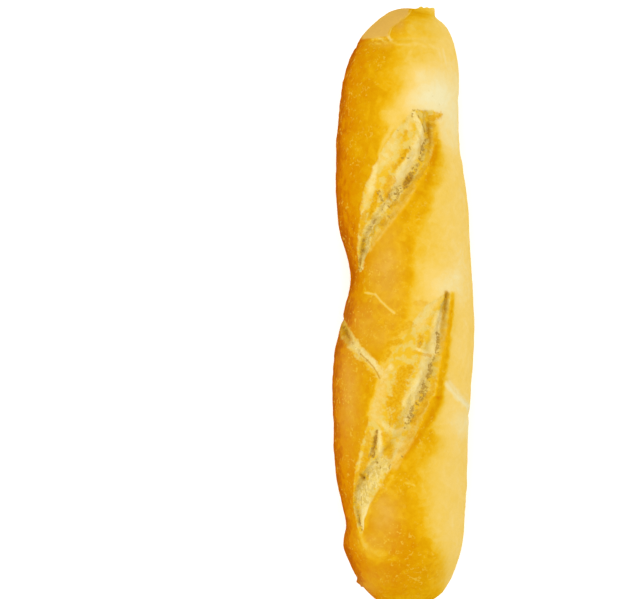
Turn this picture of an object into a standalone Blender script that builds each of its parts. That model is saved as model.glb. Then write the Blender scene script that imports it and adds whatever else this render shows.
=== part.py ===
"""A demi baguette: a short stick loaf with two slanting scores, lying on its flat underside.

Run it with blender --background --python part.py, or from Blender's text editor.
Metres, +Z up. The loaf lies along Y, and the origin is on the surface it lies on, under its middle.

The crust is one skin. Each of its points is found by two measures: y, its place along the loaf, and
its turn, the angle round the section from the crown line, positive towards +X. Scores, cracks and
bumps are depths that are added to the skin by those two measures.
"""

import math

import bmesh
import bpy
import numpy as np
from mathutils import Vector, noise

MM = 0.001

# Driving sizes of the loaf.
TIP_Y = {"low": -135.0 * MM, "high": 134.0 * MM}  # the two round ends
TIP_REACH = {"low": 40.0 * MM, "high": 37.0 * MM}  # how far in from each tip the end's curve runs
TIP_HEIGHT = 19.0 * MM
WIDEST_SHARE = 0.43  # height of the widest line, as a share of the crown's height
SUNK = 3.2 * MM  # how much of the round underside the tray has flattened
ROUNDNESS = {"top": 2.1, "underside": 2.5}  # superellipse powers, where 2 is an ellipse
GIRTH_RADIUS = 28.0 * MM  # one radian round the loaf is about this far on its skin

# The form along the loaf: y, middle of the width, half the width, height of the crown.
FORM = np.array((
    (134, 2.6, 27.0, 43.0),
    (111, 0.0, 26.4, 45.0),
    (84, -2.4, 27.0, 48.0),
    (57, -1.5, 29.0, 49.5),
    (40, 0.0, 29.3, 49.0),
    (13, 3.6, 27.5, 47.0),
    (-5, 2.5, 29.5, 48.0),
    (-23, -0.2, 31.3, 50.0),
    (-50, -1.4, 30.5, 50.0),
    (-77, -0.9, 28.8, 48.5),
    (-95, 0.2, 26.8, 46.5),
    (-112, 0.0, 27.4, 45.0),
    (-135, 0.2, 27.2, 43.0),
)) * MM

# The two scores, seen from above: y, the soft lip, the deepest line, the raised lip, the depth.
UPPER_SCORE = np.array((
    (87.4, 3.8, 8.6, 12.6, 0.0),
    (85.7, 2.0, 9.6, 14.0, 1.6),
    (82.3, -0.9, 10.5, 13.9, 2.6),
    (78.4, -3.9, 11.0, 13.3, 3.1),
    (70.8, -9.6, 8.9, 12.5, 3.8),
    (63.3, -13.7, 5.1, 10.1, 4.0),
    (56.3, -16.3, 0.8, 6.3, 4.0),
    (49.7, -18.2, -4.9, 2.3, 3.6),
    (43.2, -19.3, -9.7, -1.8, 3.3),
    (35.8, -20.1, -14.7, -7.6, 3.0),
    (28.4, -20.7, -18.4, -13.3, 2.5),
    (22.3, -20.8, -19.2, -16.5, 1.8),
    (16.2, -20.3, -19.7, -18.8, 0.0),
)) * MM
LOWER_SCORE = np.array((
    (7.7, 17.7, 18.4, 19.2, 0.0),
    (6.0, 15.7, 18.3, 19.3, 1.6),
    (1.2, 8.3, 17.9, 19.3, 2.8),
    (-6.3, 2.8, 16.4, 18.8, 3.6),
    (-13.7, -2.6, 14.2, 17.6, 4.0),
    (-21.2, -6.7, 12.2, 15.9, 4.4),
    (-28.2, -9.6, 10.4, 14.2, 4.6),
    (-35.6, -12.6, 7.7, 12.9, 4.6),
    (-42.6, -14.6, 5.1, 10.0, 4.4),
    (-49.5, -16.3, 1.6, 7.1, 4.2),
    (-57.4, -18.2, -2.7, 3.4, 4.0),
    (-64.0, -19.9, -8.9, -0.4, 3.7),
    (-70.8, -21.2, -16.2, -5.3, 3.5),
    (-78.1, -22.4, -20.6, -9.2, 3.2),
    (-85.3, -22.6, -21.4, -13.9, 2.8),
    (-92.4, -21.5, -20.6, -16.3, 2.2),
    (-99.2, -19.9, -19.3, -18.2, 0.0),
)) * MM
SHELF_SHARE = 0.36  # of the depth: the step down from the soft lip to the stretched skin
SHELF_REACH = 0.2  # of the way from the soft lip to the deepest line
TEAR_FROM = 0.62  # of that way: where the skin ends and the torn crumb begins
RIDGE = {"at": 0.70, "half": 0.13, "share": 0.22}  # the crumb that stands beside the deepest line
EAR = {"height": 1.1 * MM, "outside": 5.0 * MM, "inside": 1.3 * MM}
SOFT_LIP = {"height": 0.5 * MM, "outside": 2.6 * MM, "inside": 1.2 * MM}
TEAR_ROUGHNESS = 1.1 * MM
TEAR_GRAIN = 3.4 * MM

# Cracks and creases: points of turn in degrees and y in mm, half the width, the depth.
SIDE_CRACK = {
    "route": (
        (-99, -1),
        (-88, -4),
        (-72, -7.4),
        (-58, -11.4),
        (-45, -16.4),
        (-34.5, -21),
        (-27, -25),
        (-16, -30),
    ),
    "half": 2.0 * MM,
    "depth": 1.6 * MM,
}
WAIST_CRACK = {
    "route": ((-48, 7), (-35, 6.3), (-29, 3.4), (-15, -2.1)),
    "half": 0.9 * MM,
    "depth": 0.5 * MM,
}
RIGHT_CREASE = {
    "route": ((38, -32), (55, -39), (78, -46), (102, -52)),
    "half": 1.9 * MM,
    "depth": 0.9 * MM,
}
TAIL_CRACK = {
    "route": ((-62, -101), (-46, -105), (-33, -110), (-22, -110.5), (-10, -109.5)),
    "half": 1.4 * MM,
    "depth": 0.6 * MM,
}
TIP_SEAM = {
    "route": ((-100, 116.7), (-62, 118.2), (-20, 119.2), (20, 118.7), (55, 117.7)),
    "half": 1.5 * MM,
    "depth": 0.6 * MM,
}
NOSE_SEAM = {
    "route": ((-21, 119.2), (-16, 124), (-6, 128.5), (2, 133.4)),
    "half": 1.1 * MM,
    "depth": 0.5 * MM,
}
CRACKS = (SIDE_CRACK, WAIST_CRACK, RIGHT_CREASE, TAIL_CRACK, TIP_SEAM, NOSE_SEAM)

# Bumps: place on the skin (x, y, z in mm), radius, height; a dent's height is below zero.
BUMPS = (
    ((11.0, 131.5, 22.0), 3.6 * MM, 3.2 * MM),  # the ragged nub where the dough was pinched off
    ((14.5, 128.5, 20.0), 2.2 * MM, -1.0 * MM),
    ((-20.0, -123.0, 18.0), 1.8 * MM, 2.0 * MM),  # a small flake at the other end
    ((-26.0, -105.0, 20.0), 6.0 * MM, 1.5 * MM),
    ((-27.0, -97.0, 20.0), 5.0 * MM, -0.9 * MM),
    ((-14.0, 126.0, 30.0), 8.0 * MM, -0.9 * MM),  # the flat facet beside the seam
    ((-6.0, 8.0, 47.0), 14.0 * MM, 1.0 * MM),  # the bridge of crust between the scores
    ((-26.0, 16.0, 30.0), 10.0 * MM, -1.0 * MM),  # the waist
)
LUMPS = (  # wavelength, height
    (34.0 * MM, 1.1 * MM),
    (12.0 * MM, 0.42 * MM),
    (5.0 * MM, 0.12 * MM),
)

# How finely the skin is made before it is thinned to its last number of triangles.
RINGS = 380
COLUMNS = 210
TRIANGLES = 12200

CRUST_COLOUR = (0.80, 0.46, 0.08, 1.0)
CRUST_ROUGHNESS = 0.55


def clear_scene():
    for thing in list(bpy.data.objects):
        bpy.data.objects.remove(thing)


def through(rows, column, at):
    """Reads a smooth curve through a table's column, whose first column is y, highest first."""
    y = rows[::-1, 0]
    value = rows[::-1, column]
    slope = np.gradient(value, y)
    at = np.clip(at, y[0], y[-1])
    i = np.clip(np.searchsorted(y, at) - 1, 0, len(y) - 2)
    gap = y[i + 1] - y[i]
    t = (at - y[i]) / gap
    start = (1 + 2 * t) * (1 - t) ** 2 * value[i] + t * (1 - t) ** 2 * gap * slope[i]
    end = t**2 * (3 - 2 * t) * value[i + 1] - t**2 * (1 - t) * gap * slope[i + 1]
    return start + end


def ease(t):
    """A smooth step from 0 to 1 as t goes from 0 to 1."""
    t = np.clip(t, 0.0, 1.0)
    return t * t * (3 - 2 * t)


def end_share(y):
    """How much of the full section is left at y: 1 along the loaf, and 0 at the two tips."""
    from_high = np.clip((TIP_Y["high"] - y) / TIP_REACH["high"], 0.0, 1.0)
    from_low = np.clip((y - TIP_Y["low"]) / TIP_REACH["low"], 0.0, 1.0)
    return np.sqrt((1 - (1 - from_high) ** 2) * (1 - (1 - from_low) ** 2))


def even_stations(share):
    """The y that lies a given share of the way along the skin, from the high tip to the low one."""
    sweep = np.linspace(0.0, math.pi, 4001)
    middle = (TIP_Y["high"] + TIP_Y["low"]) / 2
    y = middle + (TIP_Y["high"] - TIP_Y["low"]) / 2 * np.cos(sweep)
    radius = end_share(y) * through(FORM, 2, y)
    walked = np.concatenate(([0.0], np.cumsum(np.hypot(np.diff(y), np.diff(radius)))))
    return np.interp(share * walked[-1], walked, y)


def section_point(y, angle):
    """x and z of the smooth loaf at y, at an angle round the section's own middle from the crown."""
    share = end_share(y)
    crown = through(FORM, 3, y)
    widest = WIDEST_SHARE * crown
    level = TIP_HEIGHT + (widest - TIP_HEIGHT) * share
    half = through(FORM, 2, y) * share + 1e-9
    above = np.cos(angle) > 0
    rise = np.where(above, crown - widest, widest + SUNK) * share + 1e-9
    power = np.where(above, ROUNDNESS["top"], ROUNDNESS["underside"])
    across = np.abs(np.sin(angle)) / half
    upward = np.abs(np.cos(angle)) / rise
    radius = (across**power + upward**power) ** (-1 / power)
    return through(FORM, 1, y) + radius * np.sin(angle), level + radius * np.cos(angle)


def turn_of(x, y):
    """The turn of a point of the upper skin that is seen from above at x, y."""
    share = np.clip((x - through(FORM, 1, y)) / through(FORM, 2, y), -1.0, 1.0)
    return np.arcsin(share)


def lip(distance, size):
    """A rounded lip: distance is measured outwards from its line, in metres."""
    reach = np.where(distance > 0, size["outside"], size["inside"])
    return size["height"] * np.exp(-((distance / reach) ** 2))


def score_height(rows, turn, y, grain):
    """The hollow, the two lips and the torn crumb of one score."""
    soft = turn_of(through(rows, 1, y), y)
    deep = turn_of(through(rows, 2, y), y)
    raised = turn_of(through(rows, 3, y), y)
    depth = np.where((y < rows[0, 0]) & (y > rows[-1, 0]), np.maximum(through(rows, 4, y), 0.0), 0.0)
    opened = (turn - soft) / (deep - soft)
    shelf = SHELF_SHARE * ease(opened / SHELF_REACH)
    tear = (1 - SHELF_SHARE) * ease((opened - TEAR_FROM) / (1 - TEAR_FROM))
    ridge = RIDGE["share"] * np.exp(-(((opened - RIDGE["at"]) / RIDGE["half"]) ** 2))
    wall = ease((raised - turn) / (raised - deep))
    hollow = np.where(turn < deep, shelf + tear - ridge, wall)
    inside = (turn > soft) & (turn < raised)
    torn = ease((opened - 0.35) / 0.3) * np.clip(wall * 3, 0.0, 1.0)
    height = np.where(inside, -depth * hollow + TEAR_ROUGHNESS * grain * torn * ease(depth / MM), 0.0)
    strength = depth / rows[:, 4].max()
    height += strength * lip((turn - raised) * GIRTH_RADIUS, EAR)
    height += strength * lip((soft - turn) * GIRTH_RADIUS, SOFT_LIP)
    return height


def crack_height(crack, turn, y, grain):
    """A groove along a route of straight stretches, narrow and shallow at its last point."""
    around = np.radians([point[0] for point in crack["route"]]) * GIRTH_RADIUS
    along = np.array([point[1] for point in crack["route"]]) * MM
    place = np.stack((turn * GIRTH_RADIUS, y), axis=1)
    nearest = np.full(len(y), 1.0)
    fade = np.ones(len(y))
    stretches = len(around) - 1
    for i in range(stretches):
        start = np.array((around[i], along[i]))
        run = np.array((around[i + 1], along[i + 1])) - start
        t = np.clip((place - start) @ run / (run @ run), 0.0, 1.0)
        away = np.linalg.norm(place - start - t[:, None] * run, axis=1)
        passed = (i + t) / stretches
        fade = np.where(away < nearest, 1 - ease((passed - 0.7) / 0.3) * 0.7, fade)
        nearest = np.minimum(nearest, away)
    wander = crack["half"] * (1 + 0.35 * grain)
    return -crack["depth"] * fade * np.exp(-((nearest / wander) ** 2))


def noise_at(points, wavelength, shift):
    """Blender's Perlin noise at every point, with its own shift so that no two layers agree."""
    offset = Vector((shift, 2 * shift, 3 * shift))
    return np.array([noise.noise(Vector(point) / wavelength + offset) for point in points])


def skin_height(points, turn):
    """How far the skin stands out from the smooth loaf at each point."""
    y = points[:, 1]
    height = np.zeros(len(points))
    for layer, (wavelength, size) in enumerate(LUMPS):
        height += size * noise_at(points, wavelength, 11.3 * (layer + 1))
    grain = noise_at(points, TEAR_GRAIN, 71.7)
    for rows in (UPPER_SCORE, LOWER_SCORE):
        height += score_height(rows, turn, y, grain)
    for crack in CRACKS:
        height += crack_height(crack, turn, y, grain)
    for place, radius, size in BUMPS:
        away = np.linalg.norm(points - np.array(place) * MM, axis=1)
        height += size * np.exp(-((away / radius) ** 2)) * (1 + 0.4 * grain)
    return height


def smooth_loaf():
    """A ball whose rings become the loaf's sections. Returns the mesh, and each point's turn."""
    work = bmesh.new()
    bmesh.ops.create_uvsphere(work, u_segments=COLUMNS, v_segments=RINGS, radius=1.0)
    mesh = bpy.data.meshes.new("loaf")
    work.to_mesh(mesh)
    work.free()
    ball = np.empty(len(mesh.vertices) * 3)
    mesh.vertices.foreach_get("co", ball)
    ball = ball.reshape(-1, 3)
    y = even_stations(np.arccos(np.clip(ball[:, 2], -1.0, 1.0)) / math.pi)
    angle = np.arctan2(ball[:, 0], ball[:, 1])
    x, z = section_point(y, angle)
    mesh.vertices.foreach_set("co", np.stack((x, y, z), axis=1).ravel())
    mesh.update()
    half = through(FORM, 2, y)
    crown = through(FORM, 3, y)
    level = WIDEST_SHARE * crown
    turn = np.arctan2((x - through(FORM, 1, y)) / half, (z - level) / (crown - level))
    return mesh, turn


def raise_skin(mesh, turn):
    """Moves each point in or out along the smooth loaf's own normal."""
    points = np.empty(len(mesh.vertices) * 3)
    normals = np.empty(len(mesh.vertices) * 3, np.float32)
    mesh.vertices.foreach_get("co", points)
    mesh.vertex_normals.foreach_get("vector", normals)
    points = points.reshape(-1, 3)
    outwards = normals.reshape(-1, 3)
    if (outwards * (points - points.mean(axis=0))).sum() < 0:
        mesh.flip_normals()
        outwards = -outwards
    points += outwards * skin_height(points, turn)[:, None]
    mesh.vertices.foreach_set("co", points.ravel())
    mesh.update()


def thin_out(loaf, triangles):
    """Keeps the triangles where the form needs them, and drops them where the crust is smooth."""
    loaf.data.calc_loop_triangles()
    thinner = loaf.modifiers.new("thinner", "DECIMATE")
    thinner.ratio = triangles / len(loaf.data.loop_triangles)
    bpy.context.view_layer.objects.active = loaf
    loaf.select_set(True)
    bpy.ops.object.modifier_apply(modifier=thinner.name)


def flatten_underside(mesh):
    """Cuts the round underside off where the loaf lay on the tray, and closes it with a flat face."""
    work = bmesh.new()
    work.from_mesh(mesh)
    parts = work.verts[:] + work.edges[:] + work.faces[:]
    bmesh.ops.bisect_plane(
        work, geom=parts, dist=1e-6, plane_co=(0, 0, 0), plane_no=(0, 0, -1), clear_outer=True
    )
    rim = [edge for edge in work.edges if edge.is_boundary]
    bmesh.ops.contextual_create(work, geom=rim)
    bmesh.ops.triangulate(work, faces=[face for face in work.faces if len(face.verts) > 3])
    bmesh.ops.recalc_face_normals(work, faces=work.faces[:])
    work.to_mesh(mesh)
    work.free()


def crust_material():
    crust = bpy.data.materials.new("crust")
    crust.use_nodes = True
    shader = crust.node_tree.nodes["Principled BSDF"]
    shader.inputs["Base Color"].default_value = CRUST_COLOUR
    shader.inputs["Roughness"].default_value = CRUST_ROUGHNESS
    shader.inputs["Metallic"].default_value = 0.0
    crust.diffuse_color = CRUST_COLOUR
    return crust


def build():
    clear_scene()
    mesh, turn = smooth_loaf()
    raise_skin(mesh, turn)
    loaf = bpy.data.objects.new("loaf", mesh)
    bpy.context.scene.collection.objects.link(loaf)
    thin_out(loaf, TRIANGLES)
    flatten_underside(loaf.data)
    loaf.data.materials.append(crust_material())
    loaf.data.shade_smooth()


build()
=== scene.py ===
# %% [markdown]
# # A demi baguette
#
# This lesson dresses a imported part: a short stick loaf, 270 mm long, with two slanting scores. The packed
# model is a plain solid. Here it gets the surface that a baker would know: a thin golden crust, pale where
# the oven's heat reached it last, blade-cut lips, stretched skin, and torn cream crumb in the scores.
#
# Read it as a notebook. Each markdown cell says what the next step is on the real loaf, how it could be
# made, and why this way was chosen.

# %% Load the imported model
import math

import bpy
import numpy as np
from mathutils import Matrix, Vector, noise


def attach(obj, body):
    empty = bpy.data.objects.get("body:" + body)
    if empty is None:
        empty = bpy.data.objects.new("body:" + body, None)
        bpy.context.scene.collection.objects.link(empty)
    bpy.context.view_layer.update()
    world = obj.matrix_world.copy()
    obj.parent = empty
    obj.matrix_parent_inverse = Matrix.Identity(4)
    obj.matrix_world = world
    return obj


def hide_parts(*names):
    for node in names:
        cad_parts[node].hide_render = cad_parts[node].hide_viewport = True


MM = 0.001


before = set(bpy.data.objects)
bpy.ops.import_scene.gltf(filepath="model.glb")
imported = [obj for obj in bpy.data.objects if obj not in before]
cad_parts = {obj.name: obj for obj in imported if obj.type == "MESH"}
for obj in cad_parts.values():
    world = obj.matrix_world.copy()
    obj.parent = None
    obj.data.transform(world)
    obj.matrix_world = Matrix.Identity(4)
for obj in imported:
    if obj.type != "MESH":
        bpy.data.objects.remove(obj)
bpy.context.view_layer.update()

# %% [markdown]
# ## The camera
#
# The photograph looks straight down, from far enough away that the sides hardly show. A long lens high
# above gives that. The loaf lies right of the middle in the picture, so the camera is put above the
# picture's middle and not above the loaf: that needs no lens shift, and other views stay easy.

# %% Camera
PIXEL = 0.447 * MM  # what one pixel of the picture covers at the loaf's widest line
PICTURE = {"wide": 640, "high": 599}
LOAF_IN_PICTURE = {"across": 403.5, "down": 308.5}  # where the frame's origin lies, in pixels
CAMERA_HEIGHT = 1.2
WIDEST_LEVEL = 21 * MM

camera_data = bpy.data.cameras.new("overhead")
camera = bpy.data.objects.new("overhead", camera_data)
bpy.context.scene.collection.objects.link(camera)
camera.location = (
    (PICTURE["wide"] / 2 - LOAF_IN_PICTURE["across"]) * PIXEL,
    (LOAF_IN_PICTURE["down"] - PICTURE["high"] / 2) * PIXEL,
    CAMERA_HEIGHT,
)
seen = PICTURE["wide"] * PIXEL
camera_data.lens = camera_data.sensor_width * (CAMERA_HEIGHT - WIDEST_LEVEL) / seen
bpy.context.scene.camera = camera
print("lens:", round(camera_data.lens, 1), "mm")

# %% [markdown]
# ## The studio
#
# Food on white is lit brightly and softly from nearly everywhere, so that the card it lies on goes white.
# Wide area lights stand to the right, overhead and to the left, and a white world lights the rest. Such
# light is brighter than daylight on paper, so every colour below is given as the picture shows it and is
# divided by the studio's gain. The floor is a plain sheet of near-white card.

# %% Floor, lights and world
FLOOR_SIZE = 8.0
CARD = {"colour": (0.95, 0.95, 0.95), "roughness": 0.8}
LIGHTS = {
    "key": {"place": (0.95, 0.25, 1.0), "size": 1.4, "power": 8.8},
    "fill": {"place": (-0.1, 0.2, 1.9), "size": 1.8, "power": 8.8},
    "bounce": {"place": (-0.95, -0.2, 0.95), "size": 1.4, "power": 10.2},
}
WORLD_COLOUR = (1, 1, 1, 1)
WORLD_LIGHT = 1.14
STUDIO_GAIN = 1.8  # how much brighter than white paper in plain daylight the studio shows the loaf
LOAF_MIDDLE = Vector((0, 0, 0.02))


def bare_material(name, colour, roughness):
    """A material of one colour, for the studio's own surfaces."""
    material = bpy.data.materials.new(name)
    material.use_nodes = True
    shader = material.node_tree.nodes["Principled BSDF"]
    shader.inputs["Base Color"].default_value = (*colour, 1.0)
    shader.inputs["Roughness"].default_value = roughness
    return material


def soft_light(name, place, size, power):
    """A square area light that faces the loaf."""
    data = bpy.data.lights.new(name, "AREA")
    data.size = size
    data.energy = power
    light = bpy.data.objects.new(name, data)
    bpy.context.scene.collection.objects.link(light)
    light.location = place
    light.rotation_euler = (LOAF_MIDDLE - light.location).to_track_quat("-Z", "Y").to_euler()


bpy.ops.object.select_all(action="DESELECT")
bpy.ops.mesh.primitive_plane_add(size=FLOOR_SIZE, location=(0, 0, 0))
floor = bpy.context.active_object
floor.name = "white_card"
floor.data.materials.append(bare_material("white card", **CARD))

for name, settings in LIGHTS.items():
    soft_light(name, **settings)
world = bpy.data.worlds.new("studio")
world.use_nodes = True
sky = world.node_tree.nodes["Background"]
sky.inputs["Color"].default_value = WORLD_COLOUR
sky.inputs["Strength"].default_value = WORLD_LIGHT
bpy.context.scene.world = world
bpy.context.scene.view_settings.view_transform = "Standard"
print("lights:", ", ".join(LIGHTS))

# %% [markdown]
# ## The loaf's form
#
# A baker rolls the dough to a stick and sets it on a tray, where it swells to a section that is round above
# and flatter below. Two tables hold that form: the sizes of the ends, and the section at some stations
# along the loaf. A smooth curve reads any place between the stations. They are the sizes that the packed
# model is built from, so the two have one form.

# %% The form along the loaf
TIP_Y = {"low": -135.0 * MM, "high": 134.0 * MM}
TIP_REACH = {"low": 40.0 * MM, "high": 37.0 * MM}
TIP_HEIGHT = 19.0 * MM
WIDEST_SHARE = 0.43
SUNK = 3.2 * MM
ROUNDNESS = {"top": 2.1, "underside": 2.5}
GIRTH_RADIUS = 28.0 * MM  # turns an angle round the section into a distance on the skin
SWEEP_STEPS = 4001
NOT_ZERO = 1e-9  # keeps the tips, where the section shrinks to a point, from dividing by zero

# y, middle of the width, half the width, height of the crown
FORM = np.array((
    (134, 2.6, 27, 43),
    (111, 0, 26.4, 45),
    (84, -2.4, 27, 48),
    (57, -1.5, 29, 49.5),
    (40, 0, 29.3, 49),
    (13, 3.6, 27.5, 47),
    (-5, 2.5, 29.5, 48),
    (-23, -0.2, 31.3, 50),
    (-50, -1.4, 30.5, 50),
    (-77, -0.9, 28.8, 48.5),
    (-95, 0.2, 26.8, 46.5),
    (-112, 0, 27.4, 45),
    (-135, 0.2, 27.2, 43),
)) * MM


def through(rows, column, at):
    """Reads a smooth curve through a table's column, whose first column is y, highest first."""
    y = rows[::-1, 0]
    value = rows[::-1, column]
    slope = np.gradient(value, y)
    at = np.clip(at, y[0], y[-1])
    i = np.clip(np.searchsorted(y, at) - 1, 0, len(y) - 2)
    gap = y[i + 1] - y[i]
    t = (at - y[i]) / gap
    start = (1 + 2 * t) * (1 - t) ** 2 * value[i] + t * (1 - t) ** 2 * gap * slope[i]
    end = t**2 * (3 - 2 * t) * value[i + 1] - t**2 * (1 - t) * gap * slope[i + 1]
    return start + end


def ease(t):
    """A smooth step from 0 to 1 as t goes from 0 to 1."""
    t = np.clip(t, 0.0, 1.0)
    return t * t * (3 - 2 * t)


def end_share(y):
    """How much of the full section is left at y: 1 along the loaf, and 0 at the two tips."""
    from_high = np.clip((TIP_Y["high"] - y) / TIP_REACH["high"], 0.0, 1.0)
    from_low = np.clip((y - TIP_Y["low"]) / TIP_REACH["low"], 0.0, 1.0)
    return np.sqrt((1 - (1 - from_high) ** 2) * (1 - (1 - from_low) ** 2))


def even_stations(share):
    """The y that lies a given share of the way along the skin, from the high tip to the low one."""
    sweep = np.linspace(0.0, math.pi, SWEEP_STEPS)
    middle = (TIP_Y["high"] + TIP_Y["low"]) / 2
    y = middle + (TIP_Y["high"] - TIP_Y["low"]) / 2 * np.cos(sweep)
    radius = end_share(y) * through(FORM, 2, y)
    walked = np.concatenate(([0.0], np.cumsum(np.hypot(np.diff(y), np.diff(radius)))))
    return np.interp(share * walked[-1], walked, y)


def section_level(y):
    """The height of the section's own middle, where the loaf is widest."""
    widest = WIDEST_SHARE * through(FORM, 3, y)
    return TIP_HEIGHT + (widest - TIP_HEIGHT) * end_share(y)


def section_point(y, angle):
    """x and z of the smooth loaf at y, at an angle round the section's own middle from the crown."""
    share = end_share(y)
    crown = through(FORM, 3, y)
    widest = WIDEST_SHARE * crown
    half = through(FORM, 2, y) * share + NOT_ZERO
    above = np.cos(angle) > 0
    rise = np.where(above, crown - widest, widest + SUNK) * share + NOT_ZERO
    power = np.where(above, ROUNDNESS["top"], ROUNDNESS["underside"])
    across = np.abs(np.sin(angle)) / half
    upward = np.abs(np.cos(angle)) / rise
    radius = (across**power + upward**power) ** (-1 / power)
    return through(FORM, 1, y) + radius * np.sin(angle), section_level(y) + radius * np.cos(angle)


print("section at the middle:", [round(float(v) / MM, 1) for v in section_point(0.0, np.array(0.0))])

# %% [markdown]
# ## Roll the dough
#
# Modelling by hand starts from a ball, whose poles become the loaf's two ends. The ball is turned so that
# its poles lie along the loaf, and each of its rings is moved to one section. A box or a cylinder would
# need its corners rounded away, while the ball's rings close neatly at the tips.

# %% Roll the dough
RINGS = 160
COLUMNS = 92


def read_points(mesh):
    points = np.empty(len(mesh.vertices) * 3)
    mesh.vertices.foreach_get("co", points)
    return points.reshape(-1, 3)


def write_points(mesh, points):
    mesh.vertices.foreach_set("co", points.ravel())
    mesh.update()


bpy.ops.object.select_all(action="DESELECT")
bpy.ops.mesh.primitive_uv_sphere_add(segments=COLUMNS, ring_count=RINGS, radius=1.0, location=(0, 0, 0))
loaf = bpy.context.active_object
loaf.name = "baked_loaf"
bpy.ops.object.mode_set(mode="EDIT")
bpy.ops.mesh.select_all(action="SELECT")
bpy.ops.transform.rotate(value=math.pi / 2, orient_axis="X", center_override=(0, 0, 0))
bpy.ops.object.mode_set(mode="OBJECT")

ball = read_points(loaf.data)
stations = even_stations(np.arccos(np.clip(ball[:, 1], -1.0, 1.0)) / math.pi)
x, z = section_point(stations, np.arctan2(ball[:, 0], ball[:, 2]))
write_points(loaf.data, np.stack((x, stations, z), axis=1))
print("rolled:", len(loaf.data.polygons), "faces")

# %% [markdown]
# ## Finer faces where the surface is fine
#
# The torn crumb needs faces of a quarter of a millimetre, while the underside is happy with nearly 2 mm.
# Subdividing everything would waste most faces, so what will be carved is first drawn on the loaf: the
# scores and cracks as lines, and the crumb, its pores and the scraps of crust as short strokes, like the
# dabs of a brush. Then faces are chosen by place: all that show from above, those in and round the scores,
# and those on the strokes of crumb, pores and scraps. New points lie on straight chords, so afterwards each
# one is set back on the smooth loaf.

# %% The scores, as lines on the loaf
# The two scores, seen from above: y, the soft lip, the deepest line, the raised lip, the depth. They lie
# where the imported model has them, and are a little shallower, so that less shade gathers in them.
UPPER_SCORE = np.array((
    (87.4, 3.8, 8.6, 12.6, 0),
    (85.7, 2, 9.6, 14, 1.6),
    (82.3, -0.9, 10.5, 13.9, 2.6),
    (78.4, -3.9, 11, 13.3, 3.1),
    (70.8, -9.6, 8.9, 12.5, 3.5),
    (63.3, -13.7, 5.1, 10.1, 3.6),
    (56.3, -16.3, 0.8, 6.3, 3.6),
    (49.7, -18.2, -4.9, 2.3, 3.3),
    (43.2, -19.3, -9.7, -1.8, 3.3),
    (35.8, -20.1, -14.7, -7.6, 3),
    (28.4, -20.7, -18.4, -13.3, 2.5),
    (22.3, -20.8, -19.2, -16.5, 1.8),
    (16.2, -20.3, -19.7, -18.8, 0),
)) * MM
LOWER_SCORE = np.array((
    (7.7, 17.7, 18.4, 19.2, 0),
    (6, 15.7, 18.3, 19.3, 1.1),
    (1.2, 8.3, 17.9, 19.3, 2.1),
    (-6.3, 2.8, 16.4, 18.8, 2.9),
    (-13.7, -2.6, 14.2, 17.6, 3.4),
    (-21.2, -6.7, 12.2, 15.9, 3.5),
    (-28.2, -9.6, 10.4, 14.2, 3.6),
    (-35.6, -12.6, 7.7, 12.9, 3.6),
    (-42.6, -14.6, 5.1, 10, 3.6),
    (-49.5, -16.3, 1.6, 7.1, 3.5),
    (-57.4, -18.2, -2.7, 3.4, 3.4),
    (-64, -19.9, -8.9, -0.4, 3.2),
    (-70.8, -21.2, -16.2, -5.3, 2.7),
    (-78.1, -22.4, -20.6, -9.2, 2.2),
    (-85.3, -22.6, -21.4, -13.9, 1.8),
    (-92.4, -21.5, -20.6, -16.3, 1.4),
    (-99.2, -19.9, -19.3, -18.2, 0),
)) * MM
print("scores of", len(UPPER_SCORE), "and", len(LOWER_SCORE), "stations")

# %% The cracks and the bumps, as lines and places on the loaf
# Cracks, in mm. Each has points of turn round the section, in degrees, and y; half its width; its depth;
# how pale the skin beside it shows, as a share; and how far from its line.
SIDE_CRACK = {
    "route": (
        (-99, -2), (-88, -5.5), (-72, -9), (-58, -12.8),
        (-45, -17.4), (-34.5, -21.2), (-27, -25), (-16, -30),
    ),
    "half": 2, "depth": 1.6, "pale": 0, "reach": 1,
}
WAIST_CRACK = {
    "route": ((-48, 7), (-35, 6.3), (-29, 3.4), (-15, -2.1)),
    "half": 0.7, "depth": 0.4, "pale": 0.8, "reach": 0.9,
}
# The fold on the right flank: pale skin, with a painted highlight along it.
RIGHT_CREASE = {
    "route": ((40, -32), (55, -39), (78, -46), (102, -52)),
    "half": 1.3, "depth": 0.9, "pale": 0.8, "reach": 1.6,
}
TAIL_CRACK = {
    "route": ((-62, -101), (-46, -105), (-33, -110), (-22, -110.5), (-10, -109.5)),
    "half": 1.2, "depth": 0.4, "pale": 0.2, "reach": 2.4,
}
TIP_SEAM = {
    "route": ((-100, 116.7), (-62, 118.2), (-20, 119.2), (20, 118.7), (55, 117.7)),
    "half": 1, "depth": 0.4, "pale": 0.1, "reach": 0.9,
}
NOSE_SEAM = {
    "route": (
        (-22, 119.2), (-23, 121.6), (-22.7, 124.4), (-15.8, 126.8), (-7, 129.2), (0, 131), (10, 133.8),
    ),
    "half": 0.7, "depth": 0.4, "pale": 0.6, "reach": 0.8,
}
CRACKS = (SIDE_CRACK, WAIST_CRACK, RIGHT_CREASE, TAIL_CRACK, TIP_SEAM, NOSE_SEAM)

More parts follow.
